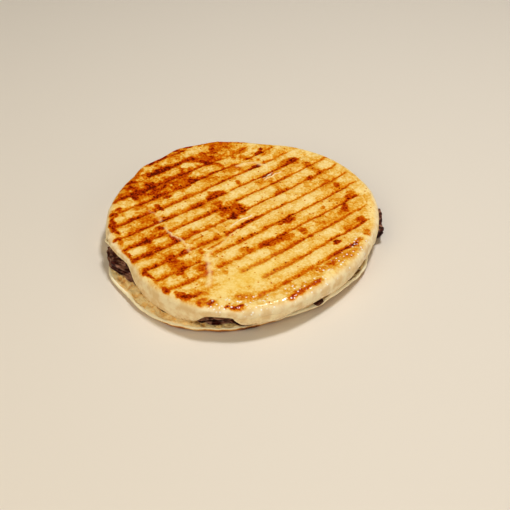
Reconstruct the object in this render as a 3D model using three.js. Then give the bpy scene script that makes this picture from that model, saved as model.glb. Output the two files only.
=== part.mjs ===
// Toasted flatbread sandwich: a thick upper bread pressed with grill bars, thin slices of cured meat
// that run right through, and a thin lower bread whose rim curls up off the surface.
// Millimetres, +Z up. The origin is the middle of the sandwich, on the surface it lies on.
// Azimuths are in degrees, anticlockwise from +X, and insets are measured inwards from an outline.

import * as THREE from "three";

// ---- Outlines: a mean radius and a few lobes, each so many waves round the bread ----
const UPPER_RADIUS = 81.3;
const UPPER_LOBES = [
  { waves: 1, size: 2.7, peakAt: 120 },
  { waves: 2, size: 3.1, peakAt: 162 },
  { waves: 3, size: 2.2, peakAt: 52 },
  { waves: 4, size: 0.8, peakAt: 359 },
  { waves: 5, size: 0.8, peakAt: 243 },
  { waves: 6, size: 0.4, peakAt: 8 },
];
const UPPER_DENTS = [
  { at: 212, halfWidth: 15, depth: 2.6 },
  { at: 262, halfWidth: 9, depth: 0.8 },
  { at: 190.5, halfWidth: 3.5, depth: 1.2 },
  { at: 347, halfWidth: 25, depth: 2.6 },
  { at: 83, halfWidth: 14, depth: 1.6 },
  { at: 127, halfWidth: 14, depth: 1.6 },
];
const SCALLOPS = { from: 96, to: 150, soft: 8, size: 0.7, pitch: 18.5, peakAt: 103 };
const LOWER_RADIUS = 79.7;
const LOWER_LOBES = [
  { waves: 1, size: 3.2, peakAt: 141 },
  { waves: 2, size: 3.4, peakAt: 124 },
  { waves: 3, size: 1.9, peakAt: 2 },
  { waves: 4, size: 0.7, peakAt: 240 },
  { waves: 6, size: 0.6, peakAt: 90 },
];
// The lower bread bulges at its wide left edge, and a small flap of crumb pokes out behind that. Between
// the two it ends further in, so that the meat hangs over it; there the depth is less than 0.
const LOWER_BUMPS = [
  { at: 206, halfWidth: 11, depth: 1.4 },
  { at: 181, halfWidth: 5, depth: 4.0 },
  { at: 192, halfWidth: 7, depth: -2.6 },
];

// ---- Upper bread ----
const FACE_HEIGHT = 18.8;
const SHOULDER_INSET = 5;
const SHOULDER_SHARE = 0.48;
const CORNER_INSET = 2.8;
const CORNER_SHARE = 0.3;
const UPPER_EDGE_HEIGHT = 7.2;
const UPPER_UNDERSIDE = 8.8;
const UNDERSIDE_BLEND = 13;
const FACE_COLUMNS = 15;
const LAST_ROW = 0.8;
const HALVINGS = 30;
const SHOULDER_STEPS = 3;
const CORNER_STEPS = 2;

// The gentle rises and hollows of the face: waves of a size and a length, running towards an azimuth.
const FACE_SWELLS = [
  { size: 0.18, length: 92, towards: 40, shift: 34 },
  { size: 0.18, length: 92, towards: -40, shift: 34 },
  { size: 0.18, length: 49, towards: 45, shift: 0 },
];

// Stretches where the upper bread's lower edge stands higher and the filling shows.
const ARCHES = [
  { from: 190, to: 216, soft: 8, rise: 5.6 },
  { from: 253, to: 268, soft: 7, rise: 5.0 },
  { from: 286, to: 306, soft: 8, rise: 1.2 },
  { from: 354, to: 386, soft: 9, rise: 2.0 },
  { from: 34, to: 176, soft: 8, rise: 0.8 },
];

// ---- Grill marks: straight parallel grooves across the face ----
const MARK_AZIMUTH = 40;
const MARK_PITCH = 10.7;
const MARK_OFFSET = 4.1;
const MARK_FLOOR = 1.1;
const MARK_WIDTH = 3.0;
const MARK_DEPTH = 0.55;
const MARK_FADE = 5;
// The press missed this oval, given along and across the marks; its edge is soft between two shares.
const MISSED = { along: -47, across: -45, halfLength: 20, halfWidth: 11, edge: { from: 0.8, to: 1.2 } };

// ---- Lower bread ----
const LOWER_THICKNESS = 4.0;
const FOOT_SHARE = 0.8;
const CURL = { at: 0.55, share: 0.35 };
const RIM_THICKNESS = 2.2;
const RIM_LIFT = 1.0;
const RIM_BLEND = 11;
const LIFTED_RIM = { from: 306, to: 344, soft: 7, rise: 1.9 };
const RIM_WAVE = { size: 0.35, waves: 11, peakAt: 320 };

// ---- Filling: slices stacked in the gap between the breads ----
const CLEARANCE = 0.5;
const SLICE_INSET = 8.5;
const SLICE_EDGE = 1.2;
const RUFFLE = { size: 0.6, waves: 17 };
const FOLD = { share: 0.1, waves: 13, turnPerSlice: 130 };
const ARCH_CLEARANCE = 0.22;
const TONGUES = {
  left: { from: 190, to: 213, soft: 6 },
  front: { from: 253, to: 269, soft: 6 },
  corner: { from: 300, to: 306, soft: 3 },
  right: { from: 356, to: 382, soft: 7 },
  back: { from: 40, to: 174, soft: 9 },
};
// How far each slice ends inside the upper bread's outline at each tongue; less than 0 stands proud.
const SLICES = [
  {
    name: "meat_slice_lower",
    phase: 20,
    insets: { left: 1, front: 3, corner: 5, right: -1, back: 5 },
  },
  {
    name: "meat_slice_middle",
    phase: 150,
    insets: { left: -0.6, front: 3.8, corner: 0.6, right: -2.6, back: 3.5 },
  },
  {
    name: "meat_slice_upper",
    phase: 265,
    insets: { left: 1.0, front: 3.4, corner: 5, right: -1.2, back: 6 },
  },
];

const ROUND_STEPS = 96;
const INNER_SHARE = 0.5;

// ---- Colours ----
const CRUST = { color: 0xe3ad55, roughness: 0.5 };
const CRUMB = { color: 0xdcc48c, roughness: 0.8 };
const MEAT = { color: 0x57301f, roughness: 0.45 };

const radians = THREE.MathUtils.degToRad;
const mix = THREE.MathUtils.lerp;
const smooth = (t) => THREE.MathUtils.smoothstep(t, 0, 1);

/** The signed turn from one azimuth to another, between -180 and 180 degrees. */
function turn(from, to) {
  return THREE.MathUtils.euclideanModulo(to - from + 180, 360) - 180;
}

/** 1 inside a stretch of azimuths, falling smoothly to 0 over its soft ends. */
function within(stretch, azimuth) {
  const middle = (stretch.from + stretch.to) / 2;
  const halfWidth = (stretch.to - stretch.from) / 2;
  const past = Math.abs(turn(middle, azimuth)) - halfWidth;
  return 1 - smooth(past / stretch.soft + 0.5);
}

/** The depth of a list of round-nosed dents or bumps at an azimuth. */
function depthOf(dents, azimuth) {
  const depth = (dent) => dent.depth * (1 - smooth(Math.abs(turn(dent.at, azimuth)) / dent.halfWidth));
  return dents.reduce((sum, dent) => sum + depth(dent), 0);
}

function lobed(radius, lobes, azimuth) {
  const wave = (lobe) => lobe.size * Math.cos(radians(lobe.waves * azimuth - lobe.peakAt));
  return lobes.reduce((sum, lobe) => sum + wave(lobe), radius);
}

function upperRadius(azimuth) {
  const outline = lobed(UPPER_RADIUS, UPPER_LOBES, azimuth);
  const scallop = SCALLOPS.size * Math.cos(radians(((azimuth - SCALLOPS.peakAt) / SCALLOPS.pitch) * 360));
  return outline + scallop * within(SCALLOPS, azimuth) - depthOf(UPPER_DENTS, azimuth);
}

function lowerRadius(azimuth) {
  return lobed(LOWER_RADIUS, LOWER_LOBES, azimuth) + depthOf(LOWER_BUMPS, azimuth);
}

// ---- Heights ----

/** How deep the bars pressed at a place given along and across the marks. */
function markDepth(along, across) {
  const marks = (across - MARK_OFFSET) / MARK_PITCH;
  const offCentre = Math.abs(marks - Math.round(marks)) * MARK_PITCH;
  const slope = (MARK_WIDTH - MARK_FLOOR) / 2;
  const section = 1 - THREE.MathUtils.clamp((offCentre - MARK_FLOOR / 2) / slope, 0, 1);
  const besideMissed = (along - MISSED.along) / MISSED.halfLength;
  const missed = Math.hypot(besideMissed, (across - MISSED.across) / MISSED.halfWidth);
  return MARK_DEPTH * section * THREE.MathUtils.smoothstep(missed, MISSED.edge.from, MISSED.edge.to);
}

/** How far one of the face's swells stands up at a place. */
function swellHeight(swell, place) {
  const along = place.clone().rotateAround(new THREE.Vector2(), -radians(swell.towards)).x;
  return swell.size * Math.sin(radians((along / swell.length) * 360 + swell.shift));
}

/** The height of the grilled face, with its marks fading out before the shoulder. */
function faceHeight(place) {
  const azimuth = THREE.MathUtils.radToDeg(place.angle());
  const inside = upperRadius(azimuth) - SHOULDER_INSET - place.length();
  const swell = FACE_SWELLS.reduce((sum, wave) => sum + swellHeight(wave, place), 0);
  const onMarks = place.clone().rotateAround(new THREE.Vector2(), -radians(MARK_AZIMUTH));
  return FACE_HEIGHT + swell - markDepth(onMarks.x, onMarks.y) * smooth(inside / MARK_FADE);
}

/** The height of the upper bread's lower edge. */
function edgeHeight(azimuth) {
  return ARCHES.reduce((sum, arch) => sum + arch.rise * within(arch, azimuth), UPPER_EDGE_HEIGHT);
}

function undersideHeight(azimuth, radius) {
  const inside = upperRadius(azimuth) - CORNER_INSET - radius;
  return mix(edgeHeight(azimuth), UPPER_UNDERSIDE, THREE.MathUtils.clamp(inside / UNDERSIDE_BLEND, 0, 1));
}

/** How high the lower bread's rim stands off the surface. */
function rimLift(azimuth) {
  const wave = RIM_WAVE.size * Math.cos(radians(RIM_WAVE.waves * (azimuth - RIM_WAVE.peakAt)));
  return RIM_LIFT + wave + LIFTED_RIM.rise * within(LIFTED_RIM, azimuth);
}

function crumbHeight(azimuth, radius) {
  const inside = lowerRadius(azimuth) - RIM_THICKNESS / 2 - radius;
  const share = THREE.MathUtils.clamp(inside / RIM_BLEND, 0, 1);
  return mix(rimLift(azimuth) + RIM_THICKNESS, LOWER_THICKNESS, share);
}

/**
 * The height of the sheet between two slices: 0 lies on the lower bread, the last under the upper one.
 * Those two keep to the breads, and the ones between them wave up and down as the slices fold.
 */
function sheetHeight(sheet, azimuth, radius) {
  const level = sheet / SLICES.length;
  const wave = Math.sin(radians(FOLD.waves * azimuth + FOLD.turnPerSlice * sheet));
  const fold = FOLD.share * 4 * level * (1 - level) * wave * (radius / UPPER_RADIUS);
  const archRise = Math.max(0, edgeHeight(azimuth) - UPPER_EDGE_HEIGHT);
  const bottom = crumbHeight(azimuth, radius) + CLEARANCE / 2;
  const top = undersideHeight(azimuth, radius) - CLEARANCE / 2 - ARCH_CLEARANCE * archRise;
  return mix(bottom, top, level + fold);
}

// ---- Skins: closed surfaces made of rings of points ----

class Skin {
  constructor() {
    this.points = [];
    this.faces = [];
  }

  point(x, y, z) {
    this.points.push(x, y, z);
    return this.points.length / 3 - 1;
  }

  /** A ring of points, one at each azimuth, at the radius and height that the two functions give. */
  ring(azimuths, radiusAt, heightAt) {
    return azimuths.map((azimuth) => {
      const radius = radiusAt(azimuth);
      const x = radius * Math.cos(radians(azimuth));
      const y = radius * Math.sin(radians(azimuth));
      return this.point(x, y, heightAt(azimuth, radius));
    });
  }

  /** Joins rings in a row along the skin, starting from the middle of the upper side. */
  bands(rings) {
    rings.slice(1).forEach((second, k) => {
      const first = rings[k];
      first.forEach((a, i) => {
        const next = (i + 1) % first.length;
        this.faces.push(a, second[i], second[next]);
        this.faces.push(a, second[next], first[next]);
      });
    });
  }

  /** Joins rings in a row towards the middle of the lower side, split like the upper side above them. */
  lowerBands(rings) {
    rings.slice(1).forEach((second, k) => {
      const first = rings[k];
      first.forEach((a, i) => {
        const next = (i + 1) % first.length;
        this.faces.push(a, second[i], first[next]);
        this.faces.push(first[next], second[i], second[next]);
      });
    });
  }

  /** Joins two rings whose points stand at different azimuths; both lists start at the same one. */
  zip(first, firstAzimuths, second, secondAzimuths) {
    const full = firstAzimuths[0] + 360;
    const azimuthAt = (azimuths, i) => (i < azimuths.length ? azimuths[i] : full);
    let i = 0;
    let j = 0;
    while (i < first.length || j < second.length) {
      const a = first[i % first.length];
      const b = second[j % second.length];
      const nextSecond = azimuthAt(secondAzimuths, j + 1);
      if (i === first.length || (j < second.length && nextSecond <= azimuthAt(firstAzimuths, i + 1))) {
        j += 1;
        this.faces.push(a, b, second[j % second.length]);
      } else {
        i += 1;
        this.faces.push(a, b, first[i % first.length]);
      }
    }
  }

  capUp(ring, z) {
    const middle = this.point(0, 0, z);
    ring.forEach((a, i) => this.faces.push(middle, a, ring[(i + 1) % ring.length]));
  }

  capDown(ring, z) {
    const middle = this.point(0, 0, z);
    ring.forEach((a, i) => this.faces.push(middle, ring[(i + 1) % ring.length], a));
  }

  geometry() {
    const geometry = new THREE.BufferGeometry();
    geometry.setAttribute("position", new THREE.Float32BufferAttribute(this.points, 3));
    geometry.setIndex(this.faces);
    geometry.computeVertexNormals();
    return geometry;
  }
}

// Every ring round a wall or a slice has its points at these azimuths, so that the layers stay parallel.
const FIRST_AZIMUTH = MARK_AZIMUTH - 90;
const ROUND = Array.from({ length: ROUND_STEPS }, (_, i) => FIRST_AZIMUTH + (i * 360) / ROUND_STEPS);

/** The radius that lies so far inside an outline. */
function insetFrom(outline, inset) {
  return (azimuth) => outline(azimuth) - inset;
}

// ---- Upper bread ----

const faceRadius = insetFrom(upperRadius, SHOULDER_INSET);

/** The place on the edge of the grilled face at an azimuth. */
function edgePlace(azimuth) {
  return new THREE.Vector2(faceRadius(azimuth), 0).rotateAround(new THREE.Vector2(), radians(azimuth));
}

/** The across values of the rows of points: each groove's edges and floor, and the crown between two. */
function faceRows(lowest, highest) {
  const section = [-MARK_WIDTH / 2, -MARK_FLOOR / 2, MARK_FLOOR / 2, MARK_WIDTH / 2, MARK_PITCH / 2];
  const firstMark = Math.floor((lowest - MARK_OFFSET) / MARK_PITCH);
  const lastMark = Math.ceil((highest - MARK_OFFSET) / MARK_PITCH);
  const rows = [];
  for (let mark = firstMark; mark <= lastMark; mark += 1) {
    section.forEach((step) => rows.push(MARK_OFFSET + mark * MARK_PITCH + step));
  }
  return rows.filter((across) => across > lowest + LAST_ROW && across < highest - LAST_ROW);
}

/** The azimuth between two others at which the face's edge lies so far across the marks. */
function edgeAzimuth(across, low, high) {
  let below = low;
  let above = high;
  for (let i = 0; i < HALVINGS; i += 1) {
    const middle = (below + above) / 2;
    if (faceRadius(middle) * Math.sin(radians(middle - MARK_AZIMUTH)) < across) {
      below = middle;
    } else {
      above = middle;
    }
  }
  return (below + above) / 2;
}

/** Lays the grilled face in rows along the marks, and returns its edge: points and their azimuths. */
function layFace(skin) {
  const nearEnd = FIRST_AZIMUTH;
  const farEnd = FIRST_AZIMUTH + 180;
  const facePoint = (place) => skin.point(place.x, place.y, faceHeight(place));
  const rows = faceRows(-faceRadius(nearEnd), faceRadius(farEnd)).map((across) => {
    const right = edgeAzimuth(across, nearEnd, farEnd);
    const left = edgeAzimuth(across, nearEnd + 360, farEnd);
    const start = edgePlace(left);
    const share = (i) => start.clone().lerp(edgePlace(right), i / FACE_COLUMNS);
    return { left, right, points: Array.from({ length: FACE_COLUMNS + 1 }, (_, i) => facePoint(share(i))) };
  });
  rows.slice(1).forEach((row, i) => {
    const before = rows[i].points;
    for (let c = 0; c < FACE_COLUMNS; c += 1) {
      skin.faces.push(before[c], before[c + 1], row.points[c + 1]);
      skin.faces.push(before[c], row.points[c + 1], row.points[c]);
    }
  });
  const nearPoint = facePoint(edgePlace(nearEnd));
  const farPoint = facePoint(edgePlace(farEnd));
  const first = rows[0].points;
  const last = rows[rows.length - 1].points;
  for (let c = 0; c < FACE_COLUMNS; c += 1) {
    skin.faces.push(nearPoint, first[c + 1], first[c]);
    skin.faces.push(farPoint, last[c], last[c + 1]);
  }
  const back = rows.slice().reverse();
  const rightPoints = rows.map((row) => row.points[FACE_COLUMNS]);
  return {
    points: [nearPoint, ...rightPoints, farPoint, ...back.map((row) => row.points[0])],
    azimuths: [nearEnd, ...rows.map((row) => row.right), farEnd, ...back.map((row) => row.left)],
  };
}

function upperBread() {
  const skin = new Skin();
  const edge = layFace(skin);
  const shoulderTop = (azimuth) => faceHeight(edgePlace(azimuth));
  const wallHeight = (azimuth) => shoulderTop(azimuth) - edgeHeight(azimuth);
  const rings = [];
  for (let i = 1; i <= SHOULDER_STEPS; i += 1) {
    const bend = radians((90 * i) / SHOULDER_STEPS);
    const radiusAt = insetFrom(upperRadius, SHOULDER_INSET * (1 - Math.sin(bend)));
    const drop = SHOULDER_SHARE * (1 - Math.cos(bend));
    rings.push(skin.ring(ROUND, radiusAt, (azimuth) => shoulderTop(azimuth) - drop * wallHeight(azimuth)));
  }
  for (let i = 0; i <= CORNER_STEPS; i += 1) {
    const bend = radians((90 * i) / CORNER_STEPS);
    const radiusAt = insetFrom(upperRadius, CORNER_INSET * (1 - Math.cos(bend)));
    const rise = CORNER_SHARE * (1 - Math.sin(bend));
    rings.push(skin.ring(ROUND, radiusAt, (azimuth) => edgeHeight(azimuth) + rise * wallHeight(azimuth)));
  }
  const innerRadius = insetFrom(upperRadius, CORNER_INSET + UNDERSIDE_BLEND);
  const inner = skin.ring(ROUND, innerRadius, undersideHeight);
  skin.zip(edge.points, edge.azimuths, rings[0], ROUND);
  skin.bands(rings);
  skin.lowerBands([rings[rings.length - 1], inner]);
  skin.capDown(inner, UPPER_UNDERSIDE);
  return skin.geometry();
}

// ---- Lower bread ----

function lowerBread() {
  const skin = new Skin();
  const half = RIM_THICKNESS / 2;
  const rimStep = half + RIM_BLEND / 3;
  const footRadius = (azimuth) => lowerRadius(azimuth) * FOOT_SHARE;
  const curlRadius = (azimuth) => mix(footRadius(azimuth), lowerRadius(azimuth), CURL.at);
  const rings = [
    skin.ring(ROUND, insetFrom(lowerRadius, half + RIM_BLEND), crumbHeight),
    skin.ring(ROUND, insetFrom(lowerRadius, rimStep), crumbHeight),
    skin.ring(ROUND, insetFrom(lowerRadius, half), crumbHeight),
    skin.ring(ROUND, lowerRadius, (azimuth) => rimLift(azimuth) + half),
    skin.ring(ROUND, insetFrom(lowerRadius, half), rimLift),
    skin.ring(ROUND, curlRadius, (azimuth) => rimLift(azimuth) * CURL.share),
    skin.ring(ROUND, footRadius, () => 0),
  ];
  skin.capUp(rings[0], LOWER_THICKNESS);
  skin.bands(rings);
  skin.capDown(rings[rings.length - 1], 0);
  return skin.geometry();
}

// ---- Meat slices ----

/** A slice's outline: hidden inside the breads, with tongues out to the places where it shows. */
function sliceRadius(slice, azimuth) {
  const ruffle = RUFFLE.size * Math.sin(radians(RUFFLE.waves * azimuth + slice.phase));
  const reach = (inset, [place, stretch]) => mix(inset, slice.insets[place], within(stretch, azimuth));
  return upperRadius(azimuth) - Object.entries(TONGUES).reduce(reach, SLICE_INSET) + ruffle;
}

function meatSlice(slice, index) {
  const skin = new Skin();
  const outline = (azimuth) => sliceRadius(slice, azimuth);
  const flatRadius = (azimuth) => upperRadius(azimuth) - CORNER_INSET - UNDERSIDE_BLEND;
  const cornerRadius = insetFrom(upperRadius, CORNER_INSET);
  const bendRadius = (azimuth) => Math.min(cornerRadius(azimuth), outline(azimuth) - SLICE_EDGE);
  const radii = [
    (azimuth) => flatRadius(azimuth) * INNER_SHARE,
    flatRadius,
    bendRadius,
    insetFrom(outline, SLICE_EDGE / 4),
  ];
  const top = (azimuth, radius) => sheetHeight(index + 1, azimuth, radius) - CLEARANCE / 2;
  const bottom = (azimuth, radius) => sheetHeight(index, azimuth, radius) + CLEARANCE / 2;
  const middle = (azimuth, radius) => (top(azimuth, radius) + bottom(azimuth, radius)) / 2;
  const upper = radii.map((radiusAt) => skin.ring(ROUND, radiusAt, top));
  const lower = radii.map((radiusAt) => skin.ring(ROUND, radiusAt, bottom));
  skin.capUp(upper[0], top(0, 0));
  const rim = skin.ring(ROUND, outline, middle);
  skin.bands([...upper, rim]);
  skin.lowerBands([rim, ...lower.reverse()]);
  skin.capDown(lower[lower.length - 1], bottom(0, 0));
  return skin.geometry();
}

// ---- The sandwich ----

function piece(name, geometry, finish) {
  const mesh = new THREE.Mesh(geometry, new THREE.MeshStandardMaterial({ ...finish, metalness: 0 }));
  mesh.name = name;
  return mesh;
}

const sandwich = new THREE.Group();
sandwich.add(piece("bread_upper", upperBread(), CRUST));
sandwich.add(piece("bread_lower", lowerBread(), CRUMB));
SLICES.forEach((slice, index) => sandwich.add(piece(slice.name, meatSlice(slice, index), MEAT)));

export default sandwich;
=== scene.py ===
"""Dresses a toasted flatbread sandwich: pressed upper bread, folded cured meat, thin lower bread.

Lengths are in millimetres and azimuths in degrees anticlockwise from +X. Meshes are made in metres.
"""

import logging
import math
from collections.abc import Sequence
from dataclasses import dataclass
from enum import Enum

import bpy
import numpy as np
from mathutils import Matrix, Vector


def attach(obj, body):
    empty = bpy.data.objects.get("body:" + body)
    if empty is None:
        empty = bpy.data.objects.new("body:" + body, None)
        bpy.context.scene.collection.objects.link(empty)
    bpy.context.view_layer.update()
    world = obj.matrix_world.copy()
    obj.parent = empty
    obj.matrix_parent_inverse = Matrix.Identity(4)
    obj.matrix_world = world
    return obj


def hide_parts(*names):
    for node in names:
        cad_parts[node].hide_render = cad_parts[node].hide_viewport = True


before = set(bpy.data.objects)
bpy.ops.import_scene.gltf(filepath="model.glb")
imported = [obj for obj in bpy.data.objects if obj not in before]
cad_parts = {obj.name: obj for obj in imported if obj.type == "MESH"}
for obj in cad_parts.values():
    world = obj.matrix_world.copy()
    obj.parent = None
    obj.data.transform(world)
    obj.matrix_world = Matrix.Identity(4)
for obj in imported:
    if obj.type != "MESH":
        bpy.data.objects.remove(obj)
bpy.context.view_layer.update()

LOG = logging.getLogger("sandwich")
MM = 0.001
BODY = "root"
NOMINAL_RADIUS = 80.0
Array = np.ndarray


# ---- Curves and noise ----


def smooth(share: Array) -> Array:
    """A smooth step from 0 to 1 as the share goes from 0 to 1."""
    t = np.clip(share, 0.0, 1.0)
    return t * t * (3.0 - 2.0 * t)


def turn(start: float, azimuth: Array) -> Array:
    """The signed turn from one azimuth to others, between -180 and 180 degrees."""
    return (azimuth - start + 180.0) % 360.0 - 180.0


def mix(low: Array, high: Array, share: Array) -> Array:
    """The value a share of the way from low to high."""
    return low + (high - low) * share


def bell(off: Array, width: Array | float) -> Array:
    """A bell curve: 1 where off is 0, and near 0 from about twice the width."""
    return np.exp(-((off / width) ** 2))


def polar(radius: Array | float, azimuth: Array) -> tuple[Array, Array]:
    """Turns distances from the axis and azimuths into places along X and Y."""
    angle = np.radians(azimuth)
    return radius * np.cos(angle), radius * np.sin(angle)


def azimuth_of(x: Array, y: Array) -> Array:
    """The azimuths of places."""
    return np.degrees(np.arctan2(y, x))


@dataclass(frozen=True)
class Noise:
    """Smooth seeded noise over space, between about -1 and 1."""

    seed: int
    size: float
    octaves: int = 1
    cells: int = 32
    seed_step: int = 101
    spread: float = 1.4

    def at(self, x: Array, y: Array, z: Array | float = 0.0) -> Array:
        """Works the noise out at places.

        Args:
            x: Places along X, in millimetres.
            y: Places along Y.
            z: Places along Z.

        Returns:
            One value for each place.
        """
        total = np.zeros(np.broadcast(x, y, z).shape)
        weight, whole, size = 1.0, 0.0, self.size
        for octave in range(self.octaves):
            total = total + weight * self._layer(octave, x / size, y / size, z / size)
            whole += weight
            weight *= 0.5
            size *= 0.5
        return total / whole

    def _layer(self, octave: int, x: Array, y: Array, z: Array) -> Array:
        """One octave: a lattice of random values with smooth steps between them."""
        draw = np.random.default_rng(self.seed + self.seed_step * octave)
        table = draw.uniform(-1, 1, (self.cells,) * 3)
        places = np.broadcast_arrays(x, y, z)
        low = [np.floor(place).astype(int) for place in places]
        share = [smooth(place - floor) for place, floor in zip(places, low)]
        total = np.zeros(places[0].shape)
        for corner in np.ndindex(2, 2, 2):
            index = tuple((floor + step) % self.cells for floor, step in zip(low, corner))
            weights = [part if step else 1.0 - part for part, step in zip(share, corner)]
            total = total + table[index] * weights[0] * weights[1] * weights[2]
        return total * self.spread


@dataclass(frozen=True)
class Lobe:
    """One wave of an outline."""

    waves: int
    size: float
    peak_at: float


@dataclass(frozen=True)
class Stretch:
    """A stretch of azimuths with soft ends, and how much something rises along it."""

    start: float
    end: float
    soft: float
    rise: float = 1.0

    def at(self, azimuth: Array) -> Array:
        """1 inside the stretch, falling smoothly to 0 over its soft ends."""
        past = np.abs(turn((self.start + self.end) / 2, azimuth)) - (self.end - self.start) / 2
        return 1.0 - smooth(past / self.soft + 0.5)


@dataclass(frozen=True)
class Bump:
    """A round-nosed bump of an outline, or a dent where it is less than 0."""

    at_azimuth: float
    half_width: float
    height: float

    def at(self, azimuth: Array) -> Array:
        """How far the bump stands out at some azimuths."""
        return self.height * (1.0 - smooth(np.abs(turn(self.at_azimuth, azimuth)) / self.half_width))


@dataclass(frozen=True)
class Outline:
    """A bread's outline: a mean radius with lobes, bumps and a scalloped stretch."""

    radius: float
    lobes: tuple[Lobe, ...]
    bumps: tuple[Bump, ...]
    scalloped: Stretch | None = None
    scallop_pitch: float = 18.5
    scallop_peak: float = 103.0

    def at(self, azimuth: Array) -> Array:
        """The outline's radius at some azimuths."""
        angle = np.radians(azimuth)
        radius = self.radius + np.zeros_like(angle)
        for lobe in self.lobes:
            radius += lobe.size * np.cos(lobe.waves * angle - math.radians(lobe.peak_at))
        for bump in self.bumps:
            radius += bump.at(azimuth)
        if self.scalloped:
            wave = np.cos(np.radians((azimuth - self.scallop_peak) / self.scallop_pitch * 360.0))
            radius += self.scalloped.rise * wave * self.scalloped.at(azimuth)
        return radius


# ---- Meshes ----


@dataclass
class Shell:
    """Points and faces on their way to becoming a mesh."""

    points: list[Array]
    faces: list[Array]
    count: int = 0

    @classmethod
    def empty(cls) -> "Shell":
        """A shell with nothing in it yet."""
        return cls([], [])

    def add(self, x: Array, y: Array, z: Array) -> Array:
        """Adds points, and returns their numbers in an array of the same form."""
        x, y, z = np.broadcast_arrays(x, y, z)
        self.points.append(np.stack([x.ravel(), y.ravel(), z.ravel()], axis=1))
        numbers = np.arange(self.count, self.count + x.size).reshape(x.shape)
        self.count += x.size
        return numbers

    def ring(self, azimuth: Array, radius: Array, height: Array) -> Array:
        """Adds a closed ring of points, and returns their numbers."""
        return self.add(*polar(radius, azimuth), height)

    def quads(self, a: Array, b: Array, c: Array, d: Array) -> None:
        """Adds four-sided faces."""
        self.faces.append(np.stack([part.ravel() for part in (a, b, c, d)], axis=1))

    def bands(self, rings: Sequence[Array]) -> None:
        """Joins closed rings, given from the middle of the upper side round to the lower side."""
        for first, second in zip(rings, rings[1:]):
            self.quads(first, second, np.roll(second, -1), np.roll(first, -1))

    def cap(self, ring: Array, height: float, up: bool) -> None:
        """Closes a ring with triangles round a point on the axis."""
        middle = np.full(ring.shape, int(self.add(np.zeros(1), np.zeros(1), np.full(1, height))[0]))
        following = np.roll(ring, -1)
        pair = (ring, following) if up else (following, ring)
        self.faces.append(np.stack([middle, *pair], axis=1))

    def places(self) -> Array:
        """All points so far, one to a row."""
        return np.concatenate(self.points)

    def build(self, name: str, values: dict[str, Array]) -> bpy.types.Object:
        """Makes the object, with its smooth faces and its values at every point.

        Args:
            name: The piece's name.
            values: Attributes that the finishes read, one number for each point.

        Returns:
            The new object, at the origin.
        """
        mesh = bpy.data.meshes.new(name)
        faces = [tuple(row) for part in self.faces for row in part.tolist()]
        mesh.from_pydata((self.places() * MM).tolist(), [], faces)
        for key, value in values.items():
            layer = mesh.attributes.new(key, "FLOAT", "POINT")
            layer.data.foreach_set("value", np.ascontiguousarray(value, dtype=np.float32))
        mesh.shade_smooth()
        mesh.update()
        piece = bpy.data.objects.new(name, mesh)
        bpy.context.scene.collection.objects.link(piece)
        return piece


# ---- Node trees ----


class Wire:
    """A number on its way through a node tree, so that maths on it reads as an expression."""

    def __init__(self, tree: "Tree", socket: bpy.types.NodeSocket) -> None:
        """Wraps one output socket of a tree."""
        self.tree = tree
        self.socket = socket

    def _math(self, operation: str, *values: "Wire | float") -> "Wire":
        """Adds a Math node."""
        settings = {"operation": operation}
        return self.tree.node(self.tree.math_kind, settings, dict(enumerate(values)))

    def __add__(self, other: "Wire | float") -> "Wire":
        """self + other."""
        return self._math("ADD", self, other)

    def __radd__(self, other: float) -> "Wire":
        """other + self."""
        return self._math("ADD", other, self)

    def __sub__(self, other: "Wire | float") -> "Wire":
        """self - other."""
        return self._math("SUBTRACT", self, other)

    def __rsub__(self, other: float) -> "Wire":
        """other - self."""
        return self._math("SUBTRACT", other, self)

    def __mul__(self, other: "Wire | float") -> "Wire":
        """self * other."""
        return self._math("MULTIPLY", self, other)

    def clamped(self) -> "Wire":
        """The number held between 0 and 1."""
        return self._math("MINIMUM", self._math("MAXIMUM", self, 0.0), 1.0)

    def step(self, low: float, high: float) -> "Wire":
        """A smooth step from 0 to 1 as the number goes from low to high."""
        settings = {"interpolation_type": "SMOOTHSTEP"}
        ends = {"Value": self, "From Min": low, "From Max": high}
        return self.tree.node("ShaderNodeMapRange", settings, ends)


class Tree:
    """A node tree that is built by one method."""

    math_kind = "ShaderNodeMath"

    def __init__(self, tree: bpy.types.NodeTree) -> None:
        """Wraps an empty node tree."""
        self.tree = tree

    def node(
        self,
        kind: str,
        settings: dict[str, object] | None = None,
        inputs: dict[int | str, object] | None = None,
        output: int | str = 0,
    ) -> Wire:
        """Adds a node.

        Args:
            kind: The node's type.
            settings: Its settings, set first; "stops" are a ramp's places and colours.
            inputs: Values or links of its sockets, by number, name or identifier.
            output: Which output to return.

        Returns:
            The output as a wire.
        """
        node = self.tree.nodes.new(kind)
        for key, value in (settings or {}).items():
            if key == "stops":
                self._set_stops(node, value)
            else:
                setattr(node, key, value)
        for key, value in (inputs or {}).items():
            socket = self._find(node.inputs, key)
            if isinstance(value, Wire):
                self.tree.links.new(value.socket, socket)
            else:
                socket.default_value = value
        return Wire(self, self._find(node.outputs, output)) if len(node.outputs) else None

    @staticmethod
    def _find(sockets: bpy.types.bpy_prop_collection, key: int | str) -> bpy.types.NodeSocket:
        """The socket with a number, or else an identifier or a name."""
        if isinstance(key, int):
            return sockets[key]
        usable = [socket for socket in sockets if socket.enabled]
        named = [socket for socket in usable if key in (socket.identifier, socket.name)]
        return named[0]

    @staticmethod
    def _set_stops(node: bpy.types.Node, stops: Sequence[tuple[float, "Colour"]]) -> None:
        """Gives a colour ramp its stops."""
        elements = node.color_ramp.elements
        while len(elements) < len(stops):
            elements.new(1.0)
        for element, (place, colour) in zip(elements, stops):
            element.position = place
            element.color = colour.linear()


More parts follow.
